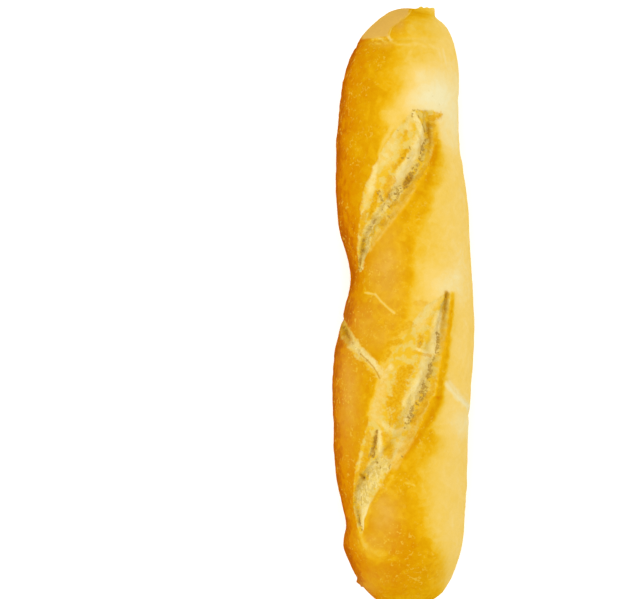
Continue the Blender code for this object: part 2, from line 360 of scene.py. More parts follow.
# Bumps, in mm: place on the skin, radius, height. A dent's height is below zero.
NUB = ((9.8, 132.3, 21), 3, 1.5)
FLAKE = ((-20, -123, 18), 1.5, 1.3)
BUMPS = (
    NUB,
    ((7.4, 133.2, 21.5), 0.9, 1),
    ((10, 132.8, 22), 1.1, 1.3),
    ((12.3, 131.8, 21), 1.4, 3.4),
    ((15.2, 129.6, 20), 1.9, -0.8),
    FLAKE,
    ((-20.6, -122.2, 18), 0.7, 1),
    ((-18.6, -124.4, 18), 0.6, 0.7),
    ((-26, -105, 20), 6, 1.5),
    ((-27, -97, 20), 5, -0.9),
    ((-14, 126, 30), 8, -0.9),
    ((-6, 8, 47), 14, 1),
    ((-26, 16, 30), 10, -1),
    ((-28, 90, 21), 26, -1),
    ((25, 88, 21), 20, -0.8),
    ((25, 62, 21), 14, -0.6),
    ((-31.5, -25, 21), 13, -1),
    ((17, 124, 19), 9, 1),
    ((16, -125, 19), 9, 1.2),
)
print(len(CRACKS), "cracks and", len(BUMPS), "bumps")

# %% Strokes of skin
# Each stroke: points of x and y in mm, seen from above, half the width in mm, and the strength.
PALE_STROKES = (  # young skin that stretched in the oven and hardly browned
    (((3.4, 85.3), (5.2, 81.8), (6.9, 78.3), (7.4, 74.8)), 1.2, 0.95),
    (((1.6, 84.6), (1.2, 79.4)), 2, 0.5),
    (((5.8, 73), (4.3, 69), (1.6, 64.6), (-1.5, 59.4), (-4.1, 55.4)), 2.6, 1),
    (((-13.2, 62.5), (-14.1, 57.3), (-15.4, 52.1)), 1.9, 0.8),
    (((-15.4, 52.1), (-17.1, 46.8), (-18.4, 42.5)), 1.1, 0.5),
    (((-20, 37), (-20.2, 33.8), (-20.1, 27.6)), 0.6, 0.25),
    (((-4.9, 79.1), (-6.7, 73), (-8.9, 66.8)), 4, 0.5),
    (((12.7, 4.7), (8.7, -1.5), (5.4, -6.5)), 3.4, 0.45),
    (((14.4, -2.8), (13.8, -7.8), (12.8, -12.8), (11.9, -19)), 2.2, 1),
    (((5.1, -17.6), (10.8, -19.8)), 0.9, 0.8),
    (((9.2, -20.7), (8.3, -25.9), (6.4, -31.2), (3.8, -36.4), (1, -40.8)), 2.5, 1),
    (((-9.6, -26.9), (-10.6, -33), (-12.1, -40), (-13.7, -46.6)), 2.8, 0.45),
    (((-12.8, -47.9), (-8.5, -51.6), (-4.1, -53.6), (-0.6, -52.6)), 1.3, 0.5),
    (((-11.1, -54), (-11.1, -59.2), (-10.8, -64.1)), 1.3, 0.85),
    (((-19.1, -63), (-20, -67.4), (-20.6, -71.5)), 0.7, 0.35),
    (((-1.5, -59.2), (-3.2, -63.6), (-4.5, -68)), 2.7, 0.6),
    (((2, -45.2), (0.3, -48.7)), 1.2, 0.8),
    (((-17.1, -84.2), (-17.1, -90)), 2.5, 1),
    (((-17.3, -89.5), (-17.7, -95.4)), 1.7, 1),
    (((-17.7, -95.4), (-17.5, -99.4)), 0.8, 1),
    (((-24.6, -13.2), (-21, -17.3)), 2.3, 0.7),
    (((-21, -17.3), (-18.4, -19.9), (-15.4, -22.5), (-12.4, -25.5), (-9.3, -28.6)), 2, 0.95),
    (((-12.8, -24.2), (-9.3, -26.4), (-6.8, -25.6)), 1.9, 0.8),
)
CREASE_STROKES = (  # folds and wrinkles outside the scores, where the skin stayed pale
    # The fold on the right flank, partly pale skin and partly painted highlight.
    (((17.9, -33), (20.6, -36.1), (23.4, -39.3), (28.3, -43.2)), 1.3, 1),
    (((-9.9, -27.2), (-12, -32.4), (-13.3, -38.1), (-14.9, -42), (-16, -46.1)), 1.2, 0.45),
    (((-5.9, 78.9), (-9.4, 72.8), (-11.5, 67.6)), 1.2, 0.5),
    (((-3.3, -67.3), (-5.9, -73.9), (-9.4, -79.2), (-12.8, -83.3)), 0.7, 0.15),
    (((-15.6, -86.1), (-16.3, -90.6), (-16.9, -95.5)), 1.1, 0.3),
    (((-19.6, -97.6), (-18.9, -101.5), (-17.1, -104.9)), 1.6, 0.55),
    (((-17.1, -104.9), (-14.5, -106.5), (-9.2, -108.1)), 2, 0.3),
    (((-13.9, 119.4), (-11.7, 119.7), (-9.6, 118.6)), 0.8, 0.9),
    (((-13.1, 117.4), (-10.5, 116.6)), 0.6, 0.6),
    (((-7.3, 120.2), (-6.1, 118.3)), 0.9, 0.9),
    (((-6.1, 117.3), (-3.9, 116.4), (-1.7, 115.9)), 0.7, 0.35),
    (((-9.6, 117.9), (-7.8, 117.2)), 0.6, 0.6),
    (((-1.7, 116.3), (1.8, 115.9)), 0.7, 0.25),
    (((4.4, 116.8), (8.4, 115.5)), 0.7, 0.25),
    (((11.1, 116.1), (13.8, 114.8)), 0.7, 0.35),
    (((14.7, 114.9), (16, 109.5)), 0.6, 0.4),
    (((17, 114.2), (18.2, 107.9)), 0.6, 0.45),
    (((0.2, -76.1), (3.7, -77)), 0.5, 0.5),
)
print(len(PALE_STROKES), "pale strokes and", len(CREASE_STROKES), "creases")

# %% Strokes of crumb and of crust inside the scores
CRUMB_STROKES = (  # torn crumb, full of small bubbles
    (((-3.2, 52.4), (-4.9, 49.7)), 2, 1),
    (((-8.4, 46.3), (-11.5, 41.1)), 2, 1),
    (((-10.2, 50.7), (-11.5, 47.2)), 1, 0.5),
    (((-14.1, 38), (-16.7, 32.8)), 1.7, 1),
    (((-15.8, 31.1), (-16.6, 25.8)), 1.2, 0.95),
    (((-17.9, 25.4), (-19, 17.9)), 0.8, 0.85),
    (((3.3, -38.6), (0.7, -45.2)), 2.5, 0.8),
    (((9.5, -23.3), (7.7, -30.3), (4.7, -37.7)), 1.2, 0.5),
    (((-9.7, -66.7), (-8.9, -68.9)), 2.5, 0.9),
    (((-12.8, -70.5), (-13.6, -76)), 3.5, 1),
    (((-16.5, -78.7), (-18.5, -84.2)), 2.8, 1),
    (((-19.7, -79.8), (-20.1, -85.2)), 1.4, 0.85),
)
GOLD_STROKES = (  # scraps of crust that browned inside the tear and along its ragged edge
    (((-0.1, 76.9), (-0.6, 74.3)), 1.3, 0.8),
    (((0.7, 69), (-0.6, 66.8)), 1.3, 1),
    (((-0.6, 66.4), (-4.5, 61.6)), 1.1, 0.9),
    (((-6.3, 56.7), (-8, 51.9), (-7.6, 48)), 1.8, 0.8),
    (((-11.9, 50.7), (-14.1, 45), (-15.4, 39.8)), 1.3, 1),
    (((-4.1, 46.2), (-6.3, 44.5)), 1.1, 0.7),
    (((-9.3, 40.2), (-10.2, 35.8)), 1.1, 0.7),
    (((-17.3, 42.6), (-18.7, 37.2), (-19.3, 32.9)), 1.1, 0.8),
    (((11.3, 83.7), (13, 84.2), (15.1, 84.6)), 1.7, 0.9),
    (((8.2, 61.6), (6.2, 58), (4, 54.8)), 1.1, 0.8),
    (((3.8, 56), (2, 51.9), (-1.5, 48)), 0.9, 0.6),
    (((12.2, 80.5), (13.1, 76.5), (13.1, 72.5)), 1.1, 0.75),
    (((1.7, -25.5), (0, -26.8)), 1.4, 1),
    (((-0.4, -27.7), (-2.8, -32.9), (-4.3, -38.2), (-5.6, -42.6)), 3.1, 1),
    (((-3.7, -44.3), (-5.4, -49.5)), 2.2, 1),
    (((6.9, -12.4), (6.4, -15.9)), 1.6, 0.8),
    (((3.8, -18.5), (7.3, -19.8), (10.8, -20.7)), 0.8, 0.55),
    (((-9.3, -54.8), (-7.8, -59.6), (-6.7, -64.5)), 1.7, 0.75),
    (((12.8, -30.8), (11.5, -35.6), (9, -39.9), (6.4, -44.7), (3.5, -49.5)), 1.3, 0.8),
    (((-15.8, -54.1), (-16.7, -59.4), (-17.6, -65.6)), 1.2, 0.75),
    (((-17, -65), (-18.5, -69.6), (-19.8, -72.3)), 1.7, 0.9),
    (((-21, -73), (-20.8, -76.5), (-21.2, -79.6)), 1, 0.7),
    (((-15, -75.6), (-12.9, -76.2)), 0.9, 0.6),
    (((-21.9, -80), (-22.3, -86.8), (-21, -94.3)), 0.6, 0.5),
    (((-7.6, -70.6), (-8.4, -74.6), (-10.1, -79.5), (-13.6, -84.9)), 0.7, 0.7),
    (((4.7, 2.5), (8.7, 2.5)), 1.3, 0.45),
    (((-4.5, -11.1), (-1, -8), (2.5, -6.3)), 1.6, 0.8),
    (((-7.6, -15.9), (-2.8, -14.1)), 1.2, 0.9),
    (((-9.3, -22), (-7.1, -18.9)), 1.2, 0.9),
)
CUT_STROKES = (  # the dull strip that the blade left below each raised lip
    (((11.6, 75.8), (11.6, 70.5), (9.8, 65.2), (8.8, 62.7)), 0.8, 0.5),
    (((2.9, 53.2), (0.3, 48.9), (-2.8, 44.1), (-6, 39.7), (-9.7, 34.9), (-13.2, 30.6)), 1.7, 0.9),
    (((-13.2, 30.6), (-15.6, 26.2)), 1.3, 0.8),
    (((17.1, -1), (16.7, -8.5), (16, -15.9)), 1, 0.9),
    (((9.6, -41.5), (7.7, -45.2)), 0.8, 0.7),
    (((6.9, -45.2), (4.2, -50.4), (1.6, -56.1)), 1.3, 0.9),
    (((1.6, -57.4), (-1.9, -63.1), (-4.9, -68.8)), 1.9, 0.85),
    (((-9.3, -26.8), (-10.2, -33.8), (-11.5, -40), (-13.2, -47)), 2.5, 0.45),
)
AMBER_AND_SHADE_STROKES = (  # the raised lips' shoulders, burnished, with painted shade where they bend down
    (((20.8, 6.4), (20.4, 1.2), (19.7, -5), (18.3, -12.8)), 1.3, 0.85),
    (((18.3, -13.7), (17.4, -19.8), (16.5, -25.9), (15.8, -31.6), (14.9, -38.2)), 2.2, 0.9),
    (((14.3, -40.8), (12.5, -44.7), (9.4, -49.9), (5.4, -56), (0.2, -64.3)), 1.8, 0.4),
    (((12.2, 84.4), (14.5, 84.5)), 1.2, 0.6),
    (((12.9, 81), (13.6, 77), (13.7, 72.6), (13.1, 68.6), (11.5, 63.3)), 1.9, 0.55),
    (((11.7, 61.5), (9.4, 56.2), (6.3, 51), (2.8, 45.7), (-0.7, 40.5)), 1.9, 0.25),
)
PAINTED_SHADE_STROKES = (  # painted shade, brown on the floor of the tears and of the side crack
    (((10.1, 81), (10.7, 78.4), (10.7, 75.3)), 1.2, 1),
    (((11.1, 75.4), (10.8, 72), (10.2, 68.4)), 0.6, 0.8),
    (((1.8, 57.2), (-0.1, 53.9)), 1.6, 0.85),
    (((-18.4, 30.2), (-18.8, 25.8)), 0.8, 0.5),
    (((-19.2, 24.5), (-19.6, 17.9)), 0.6, 0.6),
    (((18.1, 7.1), (18.1, 2.9), (17.8, -0.2)), 0.9, 1),
    (((17.8, -0.6), (16.9, -4.1)), 0.7, 0.45),
    (((-12.8, -54), (-13.4, -59.3), (-14.3, -64.2)), 1, 0.6),
    (((-19.1, -73.1), (-18.4, -74.9)), 0.9, 1),
    (((-21.5, -77.3), (-21.9, -84.5), (-21, -89.8)), 0.7, 0.25),
    (((-20.6, -89.3), (-19.2, -95.9)), 0.5, 0.5),
    (((-29.6, -5.5), (-27.5, -8.2), (-25.8, -11.6), (-24.8, -14)), 2.3, 0.95),
    (((-19.5, -19.9), (-16.3, -22.9), (-13.9, -25.5), (-12.4, -27.9), (-11.3, -30.3)), 0.4, 0.8),
)
print(len(CRUMB_STROKES), "strokes of crumb and", len(GOLD_STROKES), "of scraps")

# %% Strokes of pores, and the pockets and mounds
PORE_STROKES = (  # here the last number is how crowded the burst bubbles are: above 1 they run together
    (((3, 84), (3.4, 86.2), (5.2, 87.5), (6.5, 86.2)), 0.5, 0.5),
    (((5.4, 84.4), (7.2, 81), (8.7, 77.5)), 0.4, 0.85),
    (((10.1, 80.6), (10.7, 78), (10.7, 75.3)), 0.9, 0.7),
    (((9.6, 74), (7.4, 70.4)), 1, 0.65),
    (((7.8, 69.5), (6.3, 66)), 0.9, 0.6),
    (((6.9, 65.1), (4.7, 62)), 1, 0.6),
    (((4.7, 62), (2.5, 58.9)), 1.2, 0.8),
    (((1.8, 57.2), (-0.1, 53.7)), 1.4, 0.9),
    (((-2.3, 52.4), (-4.9, 48.4)), 1.3, 0.65),
    (((-7.6, 52.8), (-5.8, 53.7), (-3.2, 53.2)), 0.6, 0.5),
    (((-7.6, 50.2), (-6.3, 48)), 0.8, 0.5),
    (((-0.1, 71.6), (2.5, 69.9)), 0.7, 0.6),
    (((-1.4, 65.9), (1.6, 65.7)), 0.3, 0.7),
    (((-3.6, 78.7), (-2.7, 77.3)), 0.6, 0.6),
    (((-9.7, 68.2), (-12.3, 65.1)), 1.8, 0.15),
    (((-11.7, 50.7), (-10.6, 48.5), (-9.5, 45.8)), 0.8, 0.85),
    (((-7.6, 45), (-6.7, 44.3)), 0.4, 0.7),
    (((-10.2, 43.2), (-12.3, 40.6)), 0.9, 0.55),
    (((-7.6, 40.6), (-6.7, 39.7)), 0.4, 0.6),
    (((-13.2, 38.5), (-16.2, 35.4)), 1, 0.6),
    (((-11.5, 35.4), (-10.2, 36.2)), 0.4, 0.6),
    (((-15.8, 34.1), (-17.5, 32)), 0.8, 0.6),
    (((-18.4, 29.8), (-18.6, 25.8)), 0.9, 1),
    (((-19.5, 24.5), (-19.7, 20.6), (-19.9, 17.1)), 0.8, 0.9),
    (((14, -11.1), (14.2, -15.5), (13.7, -19)), 1, 1.25),
    (((15.5, -17.2), (14.6, -20.7)), 0.3, 0.8),
    (((14, -19), (12.6, -21.6), (11.5, -23.3)), 0.6, 1),
    (((11.5, -22.9), (10.8, -26.4)), 1.2, 1.2),
    (((10.8, -26.8), (9.7, -31.2)), 1.3, 1.15),
    (((9.5, -31.6), (8.4, -35.1), (7.1, -38.2)), 1.5, 1.2),
    (((6.9, -38.6), (5.8, -41.2), (3.8, -44.3)), 1.5, 1.1),
    (((3.3, -44.7), (1.6, -47.8), (0.3, -51.3)), 1.3, 1),
    (((-1.5, -56.1), (0.7, -55.2)), 0.6, 0.6),
    (((6, -12.8), (6.4, -15)), 1.1, 0.4),
    (((-1.5, -30.3), (-5.4, -38.6)), 2.2, 0.15),
    (((-12.6, -53.1), (-13, -56.6)), 0.5, 1.1),
    (((-13, -56.6), (-13.7, -60.6)), 0.8, 1.1),
    (((-13.7, -60.6), (-14.7, -64.6)), 1.3, 0.85),
    (((-12.3, -66.7), (-11, -69.4)), 0.7, 0.75),
    (((-6.7, -68), (-7.1, -69.7)), 0.4, 0.6),
    (((-19.1, -73.1), (-18.2, -74.9)), 0.6, 0.7),
    (((-15.8, -70.8), (-16.7, -74.4)), 0.4, 0.5),
    (((-20.8, -78.1), (-20.6, -83)), 0.6, 0.6),
    (((-22.3, -82.7), (-22.1, -86.3)), 0.5, 0.7),
    (((-19.3, -81.6), (-19, -86.1)), 0.5, 0.5),
    (((-20.6, -89.8), (-19.9, -93.8), (-18.8, -97.2)), 0.6, 0.8),
    (((-26.2, -8.6), (-24.9, -11.3), (-24.1, -14.3)), 1, 0.7),
    (((-23.2, -15.2), (-19.7, -19.1), (-16.3, -22.9)), 1.4, 0.35),
    (((-1.9, -62.7), (-1.5, -64.4)), 0.6, 0.6),
    (((8.3, 97.3), (11.9, 93.5), (15.5, 89.2)), 0.5, 0.25),
    (((1.2, 87.5), (4.8, 86.2)), 0.6, 0.4),
)
# Ovals: x, y, half the width, half the length, and the height, in mm. The height of a pocket is below zero.
# A sixth number is the lean in degrees, which moves the oval's high end to the left where it is positive.
POCKETS = (
    (-13.7, -58.9, 0.9, 5, -0.8, -12),
    (-18.7, -74, 1, 1.1, -1.3),
    (10.5, 78, 1.1, 2.8, -0.9, 8),
    (0.7, 55.4, 1.3, 1.9, -0.9, -30),
    (18, 2.9, 0.9, 4.4, -1, -4),
)
MOUNDS = (
    (5.8, 81.8, 1, 4.6, 1.2, 28),
    (12.9, -8.5, 1.4, 8, 0.9, -8),
    (6.6, -29.4, 1.9, 10, 1.2, -18),
    (-8.6, -68, 2.9, 3, 1.5),
    (-11.1, -59.2, 1, 4.4, 0.9),
    (-17.3, -90.4, 1.9, 5.6, 0.9, -4),
)
print(len(PORE_STROKES), "strokes of pores,", len(POCKETS), "pockets and", len(MOUNDS), "mounds")

# %% Where the finer faces go
SEEN_ABOVE = 11 * MM  # from this level up, the skin shows from above
STROKES_ABOVE = 20 * MM  # the strokes lie on the crown, and not on the underside below it
# How far beyond each thing the fine faces reach, and how far the finest, in mm.
FINE_MARGINS = {"score": 2, "side crack": 4, "thin crack": 1.5, "nub": 6, "flake": 4}
FINEST_MARGINS = {"crumb": 0.6, "scrap": 0.3, "side crack": 2.6, "nub": 4, "flake": 2.5}


def turn_at(points):
    """The angle round the section from the crown line, positive to the right."""
    y = points[:, 1]
    crown = through(FORM, 3, y)
    level = WIDEST_SHARE * crown
    across = (points[:, 0] - through(FORM, 1, y)) / through(FORM, 2, y)
    return np.arctan2(across, (points[:, 2] - level) / (crown - level))


def turn_of(x, y):
    """The turn of a point of the upper skin that is seen from above at x, y."""
    share = np.clip((x - through(FORM, 1, y)) / through(FORM, 2, y), -1.0, 1.0)
    return np.arcsin(share)


def distance_to(route, points):
    """How far each point is from a route of straight stretches, and the share of the route passed there."""
    nearest = np.full(len(points), np.inf)
    passed = np.zeros(len(points))
    stretches = len(route) - 1
    for i in range(stretches):
        start = np.array(route[i])
        run = np.array(route[i + 1]) - start
        t = np.clip((points - start) @ run / (run @ run), 0.0, 1.0)
        away = np.linalg.norm(points - start - t[:, None] * run, axis=1)
        passed = np.where(away < nearest, (i + t) / stretches, passed)
        nearest = np.minimum(nearest, away)
    return nearest, passed


def crack_distance(crack, turn, y):
    """The distance from a crack, measured on the skin."""
    route = [(math.radians(around) * GIRTH_RADIUS, along * MM) for around, along in crack["route"]]
    return distance_to(route, np.stack((turn * GIRTH_RADIUS, y), axis=1))


def in_score(rows, turn, y, margin):
    """True inside a score, or nearer to it than the margin."""
    soft = turn_of(through(rows, 1, y), y) - margin / GIRTH_RADIUS
    raised = turn_of(through(rows, 3, y), y) + margin / GIRTH_RADIUS
    long_enough = (y < rows[0, 0] + margin) & (y > rows[-1, 0] - margin)
    return (turn > soft) & (turn < raised) & long_enough


def near(points, place, reach):
    """True nearer to a place than the reach, both in mm."""
    return np.linalg.norm(points - np.array(place) * MM, axis=1) < reach * MM


def along_strokes(strokes, points, margin):
    """True on any of the strokes, or nearer to one than the margin."""
    found = np.zeros(len(points), bool)
    for stroke in strokes:
        route = [(px * MM, py * MM) for px, py in stroke[0]]
        found |= distance_to(route, points[:, :2])[0] < stroke[1] * MM + margin
    return found & (points[:, 2] > STROKES_ABOVE)


def shows_from_above(points):
    """All of the crust that the camera sees."""
    return points[:, 2] > SEEN_ABOVE


def wants_fine_faces(points):
    """In or beside a score, the open cracks and the ragged ends."""
    turn = turn_at(points)
    y = points[:, 1]
    fine = near(points, NUB[0], FINE_MARGINS["nub"]) | near(points, FLAKE[0], FINE_MARGINS["flake"])
    for rows in (UPPER_SCORE, LOWER_SCORE):
        fine |= in_score(rows, turn, y, FINE_MARGINS["score"] * MM)
    for crack in (WAIST_CRACK, NOSE_SEAM):
        fine |= crack_distance(crack, turn, y)[0] < FINE_MARGINS["thin crack"] * MM
    return fine | (crack_distance(SIDE_CRACK, turn, y)[0] < FINE_MARGINS["side crack"] * MM)


def wants_finest_faces(points):
    """On the torn crumb, its pores and the scraps of crust in it."""
    fine = near(points, NUB[0], FINEST_MARGINS["nub"]) | near(points, FLAKE[0], FINEST_MARGINS["flake"])
    fine |= along_strokes(CRUMB_STROKES + PORE_STROKES, points, FINEST_MARGINS["crumb"] * MM)
    fine |= along_strokes(GOLD_STROKES, points, FINEST_MARGINS["scrap"] * MM)
    side = crack_distance(SIDE_CRACK, turn_at(points), points[:, 1])[0]
    return fine | (side < FINEST_MARGINS["side crack"] * MM)


# %% Subdivide by place
def set_back_on_loaf(mesh):
    """Puts every point on the smooth loaf again, straight out from the section's middle."""
    points = read_points(mesh)
    y = np.clip(points[:, 1], TIP_Y["low"], TIP_Y["high"])
    angle = np.arctan2(points[:, 0] - through(FORM, 1, y), points[:, 2] - section_level(y))
    x, z = section_point(y, angle)
    write_points(mesh, np.stack((x, y, z), axis=1))


def subdivide_where(thing, wanted):
    """Cuts each face whose middle passes the test into four."""
    mesh = thing.data
    middles = np.empty(len(mesh.polygons) * 3)
    mesh.polygons.foreach_get("center", middles)
    chosen = wanted(middles.reshape(-1, 3))
    bpy.ops.object.mode_set(mode="EDIT")
    bpy.ops.mesh.select_mode(type="FACE")
    bpy.ops.mesh.select_all(action="DESELECT")
    bpy.ops.object.mode_set(mode="OBJECT")
    mesh.polygons.foreach_set("select", chosen)
    bpy.ops.object.mode_set(mode="EDIT")
    bpy.ops.mesh.subdivide(number_cuts=1)
    bpy.ops.mesh.select_all(action="DESELECT")
    bpy.ops.object.mode_set(mode="OBJECT")
    set_back_on_loaf(mesh)


subdivide_where(loaf, shows_from_above)
subdivide_where(loaf, wants_fine_faces)
subdivide_where(loaf, wants_finest_faces)
print("after subdividing:", len(loaf.data.polygons), "faces")

# %% [markdown]
# ## Everything is a height on the skin
#
# From here on the crust is one skin, and every swelling, cut and pore is a height added to it along the
# smooth loaf's own normal. That is how a sculptor's displacement works, and it keeps the mesh closed
# whatever is carved. First come the noises that all of them share.

# %% The skin's points
UPPER_FADE = 14 * MM

smooth = read_points(loaf.data)
normals = np.empty(len(loaf.data.vertices) * 3, np.float32)
loaf.data.vertex_normals.foreach_get("vector", normals)
normals = normals.reshape(-1, 3).astype(float)
middle_line = np.stack((0 * smooth[:, 1], smooth[:, 1], 0 * smooth[:, 1] + TIP_HEIGHT), axis=1)
if (normals * (smooth - middle_line)).sum() < 0:
    loaf.data.flip_normals()
    normals = -normals
skin_y = smooth[:, 1]
skin_turn = turn_at(smooth)
above_widest = smooth[:, 2] - section_level(skin_y)
faces_up = above_widest > -1 * MM
upper = ease(above_widest / UPPER_FADE + 1.0)  # 1 down to the widest line, and fading out below it
print(int(faces_up.sum()), "of", len(smooth), "points face up")


# %% Shared noises
def noise_at(points, wavelength, shift):
    """Blender's Perlin noise at every point, with its own shift so that no two layers agree."""
    offset = Vector((shift, 2 * shift, 3 * shift))
    return np.array([noise.noise(Vector(point) / wavelength + offset) for point in points])


LUMPS = (  # wavelength, height
    (34 * MM, 1.1 * MM),
    (12 * MM, 0.42 * MM),
    (5 * MM, 0.12 * MM),
)
LUMP_SHIFT = 11.3

broad_grain = noise_at(smooth, 9 * MM, shift=55.1)
grain = noise_at(smooth, 3.4 * MM, shift=71.7)
fine_grain = noise_at(smooth, 1.3 * MM, shift=23.9)
tiny_grain = noise_at(smooth, 0.6 * MM, shift=87.1)
gentle = 0.7 * grain + 0.5 * fine_grain  # for edges that wander softly
ragged = gentle + 0.5 * tiny_grain  # for torn edges
height = np.zeros(len(smooth))
for layer, (wavelength, size) in enumerate(LUMPS):
    height += size * noise_at(smooth, wavelength, LUMP_SHIFT * (layer + 1))
print("lumps:", round(float(height.min()) / MM, 2), "to", round(float(height.max()) / MM, 2), "mm")

# %% [markdown]
# ## The scores
#
# The baker draws a blade along the dough just before baking. In the oven the cut opens: on its left the
# young skin stretches to a soft golden field, on its right the old crust lifts to a lip, and between them
# the dough tears down to the crumb. Across a score that gives, from left to right: the soft lip, a shelf of
# stretched skin, a ridge of torn crumb, the deepest line, and the wall up to the raised lip.

# %% The hollow of each score
# Shares of the depth, and of the way from the soft lip to the deepest line.
SHELF_SHARE = 0.36
SHELF_REACH = 0.36
SHELF_NEEDS = 16.0 * MM  # the width at which the shelf has its full depth
TEAR_FROM = 0.62
RIDGE = {"at": 0.70, "half": 0.13, "share": 0.22}
EAR = {"height": 1.1 * MM, "outside": 5.0 * MM, "inside": 1.3 * MM}
SOFT_LIP = {"height": 0.5 * MM, "outside": 2.6 * MM, "inside": 1.2 * MM}
TEAR_ROUGHNESS = 1.1 * MM
ROUGH_FROM = 0.35  # where on the same way the tear turns rough
ROUGH_OVER = 0.3
SMOOTH_WALL = 3  # the roughness is lost again over the last third of the wall
EDGE_WANDER = 0.5 * MM  # how far the lips stray from their line


def lip(distance, size):
    """A rounded lip: distance is measured outwards from its line, in metres."""
    reach = np.where(distance > 0, size["outside"], size["inside"])
    return size["height"] * np.exp(-((distance / reach) ** 2))


def read_score(rows):
    """Where every point lies across one score, and how deep the score is there."""
    turn = skin_turn + EDGE_WANDER / GIRTH_RADIUS * grain
    soft = turn_of(through(rows, 1, skin_y), skin_y)
    deep = turn_of(through(rows, 2, skin_y), skin_y)
    raised = turn_of(through(rows, 3, skin_y), skin_y)
    along = (skin_y < rows[0, 0]) & (skin_y > rows[-1, 0])
    depth = np.where(along, np.maximum(through(rows, 4, skin_y), 0.0), 0.0)
    return {
        "opened": (turn - soft) / (deep - soft),
        "climbed": (turn - deep) / (raised - deep),
        "left_of_deep": turn < deep,
        "inside": (turn > soft) & (turn < raised) & along & (np.cos(skin_turn) > 0),
        "depth": depth,
        "strength": depth / rows[:, 4].max(),
        "width": (deep - soft) * GIRTH_RADIUS,
        "from_soft": (turn - soft) * GIRTH_RADIUS,
        "from_raised": (turn - raised) * GIRTH_RADIUS,
        "from_top": rows[0, 0] - skin_y,
    }


def score_height(score):
    """The heights of one score: its hollow, the roughness of its tear, and the lips beside it."""
    opened = score["opened"]
    shelf_share = SHELF_SHARE * ease(score["width"] / SHELF_NEEDS)
    shelf = shelf_share * ease(opened / SHELF_REACH)
    tear = (1 - shelf_share) * ease((opened - TEAR_FROM) / (1 - TEAR_FROM))
    ridge = RIDGE["share"] * np.exp(-(((opened - RIDGE["at"]) / RIDGE["half"]) ** 2))
    wall = ease(1 - score["climbed"])
    hollow = np.where(score["left_of_deep"], shelf + tear - ridge, wall)
    torn = ease((opened - ROUGH_FROM) / ROUGH_OVER) * np.clip(SMOOTH_WALL * wall, 0.0, 1.0)
    rough = TEAR_ROUGHNESS * grain * torn * ease(score["depth"] / MM)
    inside = np.where(score["inside"], -score["depth"] * hollow + rough, 0.0)
    raised = score["strength"] * lip(score["from_raised"], EAR)
    soft = score["strength"] * lip(-score["from_soft"], SOFT_LIP)
    return inside + np.where(np.cos(skin_turn) > 0, raised + soft, 0.0)


scores = [read_score(UPPER_SCORE), read_score(LOWER_SCORE)]
for score in scores:
    height += score_height(score)
print("deepest:", round(float(height.min()) / MM, 2), "mm")


# %% Carve the cracks and raise the bumps
SHALLOWS_FROM = 0.7  # the share of its route after which a crack gets shallower
LOST_DEPTH = 0.7  # the share of its depth that it has lost at its end
CRACK_WANDER = 0.35
BUMP_WANDER = 0.4


def crack_height(crack):
    """The heights of one crack: a groove with a round bottom and an uneven width."""
    nearest, passed = crack_distance(crack, skin_turn, skin_y)
    fade = 1 - ease((passed - SHALLOWS_FROM) / (1 - SHALLOWS_FROM)) * LOST_DEPTH
    half = crack["half"] * MM * (1 + CRACK_WANDER * grain)
    return -crack["depth"] * MM * fade * np.exp(-((nearest / half) ** 2))


for crack in CRACKS:
    height += crack_height(crack)
for place, radius, size in BUMPS:
    away = np.linalg.norm(smooth - np.array(place) * MM, axis=1)
    height += size * MM * np.exp(-((away / (radius * MM)) ** 2)) * (1 + BUMP_WANDER * grain)
print("with cracks and bumps:", round(float(height.max()) / MM, 2), "mm at the highest")

# %% [markdown]
# ## Torn crumb
#
# The tear is not the same all along. It shows as separate cream islands, each pitted with small gas
# bubbles, with pores crowded along the deepest line and scraps of golden crust between. The brown of the
# pores and the darker pits of the bubbles are painted shade, and a painted shade also browns the deepest
# floor of the tear. The strokes that were drawn on the loaf now become masks: numbers from 0 to 1 at every
# point. The same masks carve the relief here and choose the colours later, so the two always agree.

# %% Masks from the strokes
from_above = (smooth + normals * height[:, None])[:, :2]  # where each point is seen, now that the cuts sank


def painted(strokes, soft, wander):
    """1 on the strokes and 0 beyond them. Soft is how much of the half width fades; the edge wanders."""
    mask = np.zeros(len(smooth))
    for route, half, strength in strokes:
        nearest, _ = distance_to([(px * MM, py * MM) for px, py in route], from_above)
        uneven = nearest / (half * MM) + wander
        mask = np.maximum(mask, strength * (1 - ease((uneven - 1 + soft) / (1.5 * soft))))
    return mask * faces_up


def oval(cx, cy, half_wide, half_long, lean=0):
    """Distance from an oval's middle, as a share of its half sizes."""
    turned = math.radians(lean)
    dx = from_above[:, 0] - cx * MM
    dy = from_above[:, 1] - cy * MM
    wide = (dx * math.cos(turned) + dy * math.sin(turned)) / (half_wide * MM)
    long = (dy * math.cos(turned) - dx * math.sin(turned)) / (half_long * MM)
    return np.hypot(wide, long)


pale = painted(PALE_STROKES, soft=0.8, wander=0.5 * gentle)
creases = painted(CREASE_STROKES, soft=0.9, wander=0.5 * gentle)
crumb = painted(CRUMB_STROKES, soft=0.5, wander=0.8 * ragged)
gold = painted(GOLD_STROKES, soft=0.5, wander=0.9 * ragged)
cut = painted(CUT_STROKES, soft=0.5, wander=0.3 * gentle)
amber_and_shade = painted(AMBER_AND_SHADE_STROKES, soft=0.7, wander=0.3 * gentle)
painted_shade = painted(PAINTED_SHADE_STROKES, soft=0.8, wander=0.5 * ragged)
crowding = painted(PORE_STROKES, soft=0.5, wander=0.6 * ragged)
print("crumb covers", int((crumb > 0.5).sum()), "of", len(crumb), "points")

# %% The skin that the cracks pulled open
SIDE_WIDEST = 1.8  # the side crack's opened skin, as a share of the half width of its groove
SIDE_NARROWS = 0.75  # and what that share loses by the end of the route
SIDE_START = 0.25  # it starts as narrow as this, and has its width after the same share of the route
SIDE_EDGE = {"inside": 0.7, "fade": 0.5}

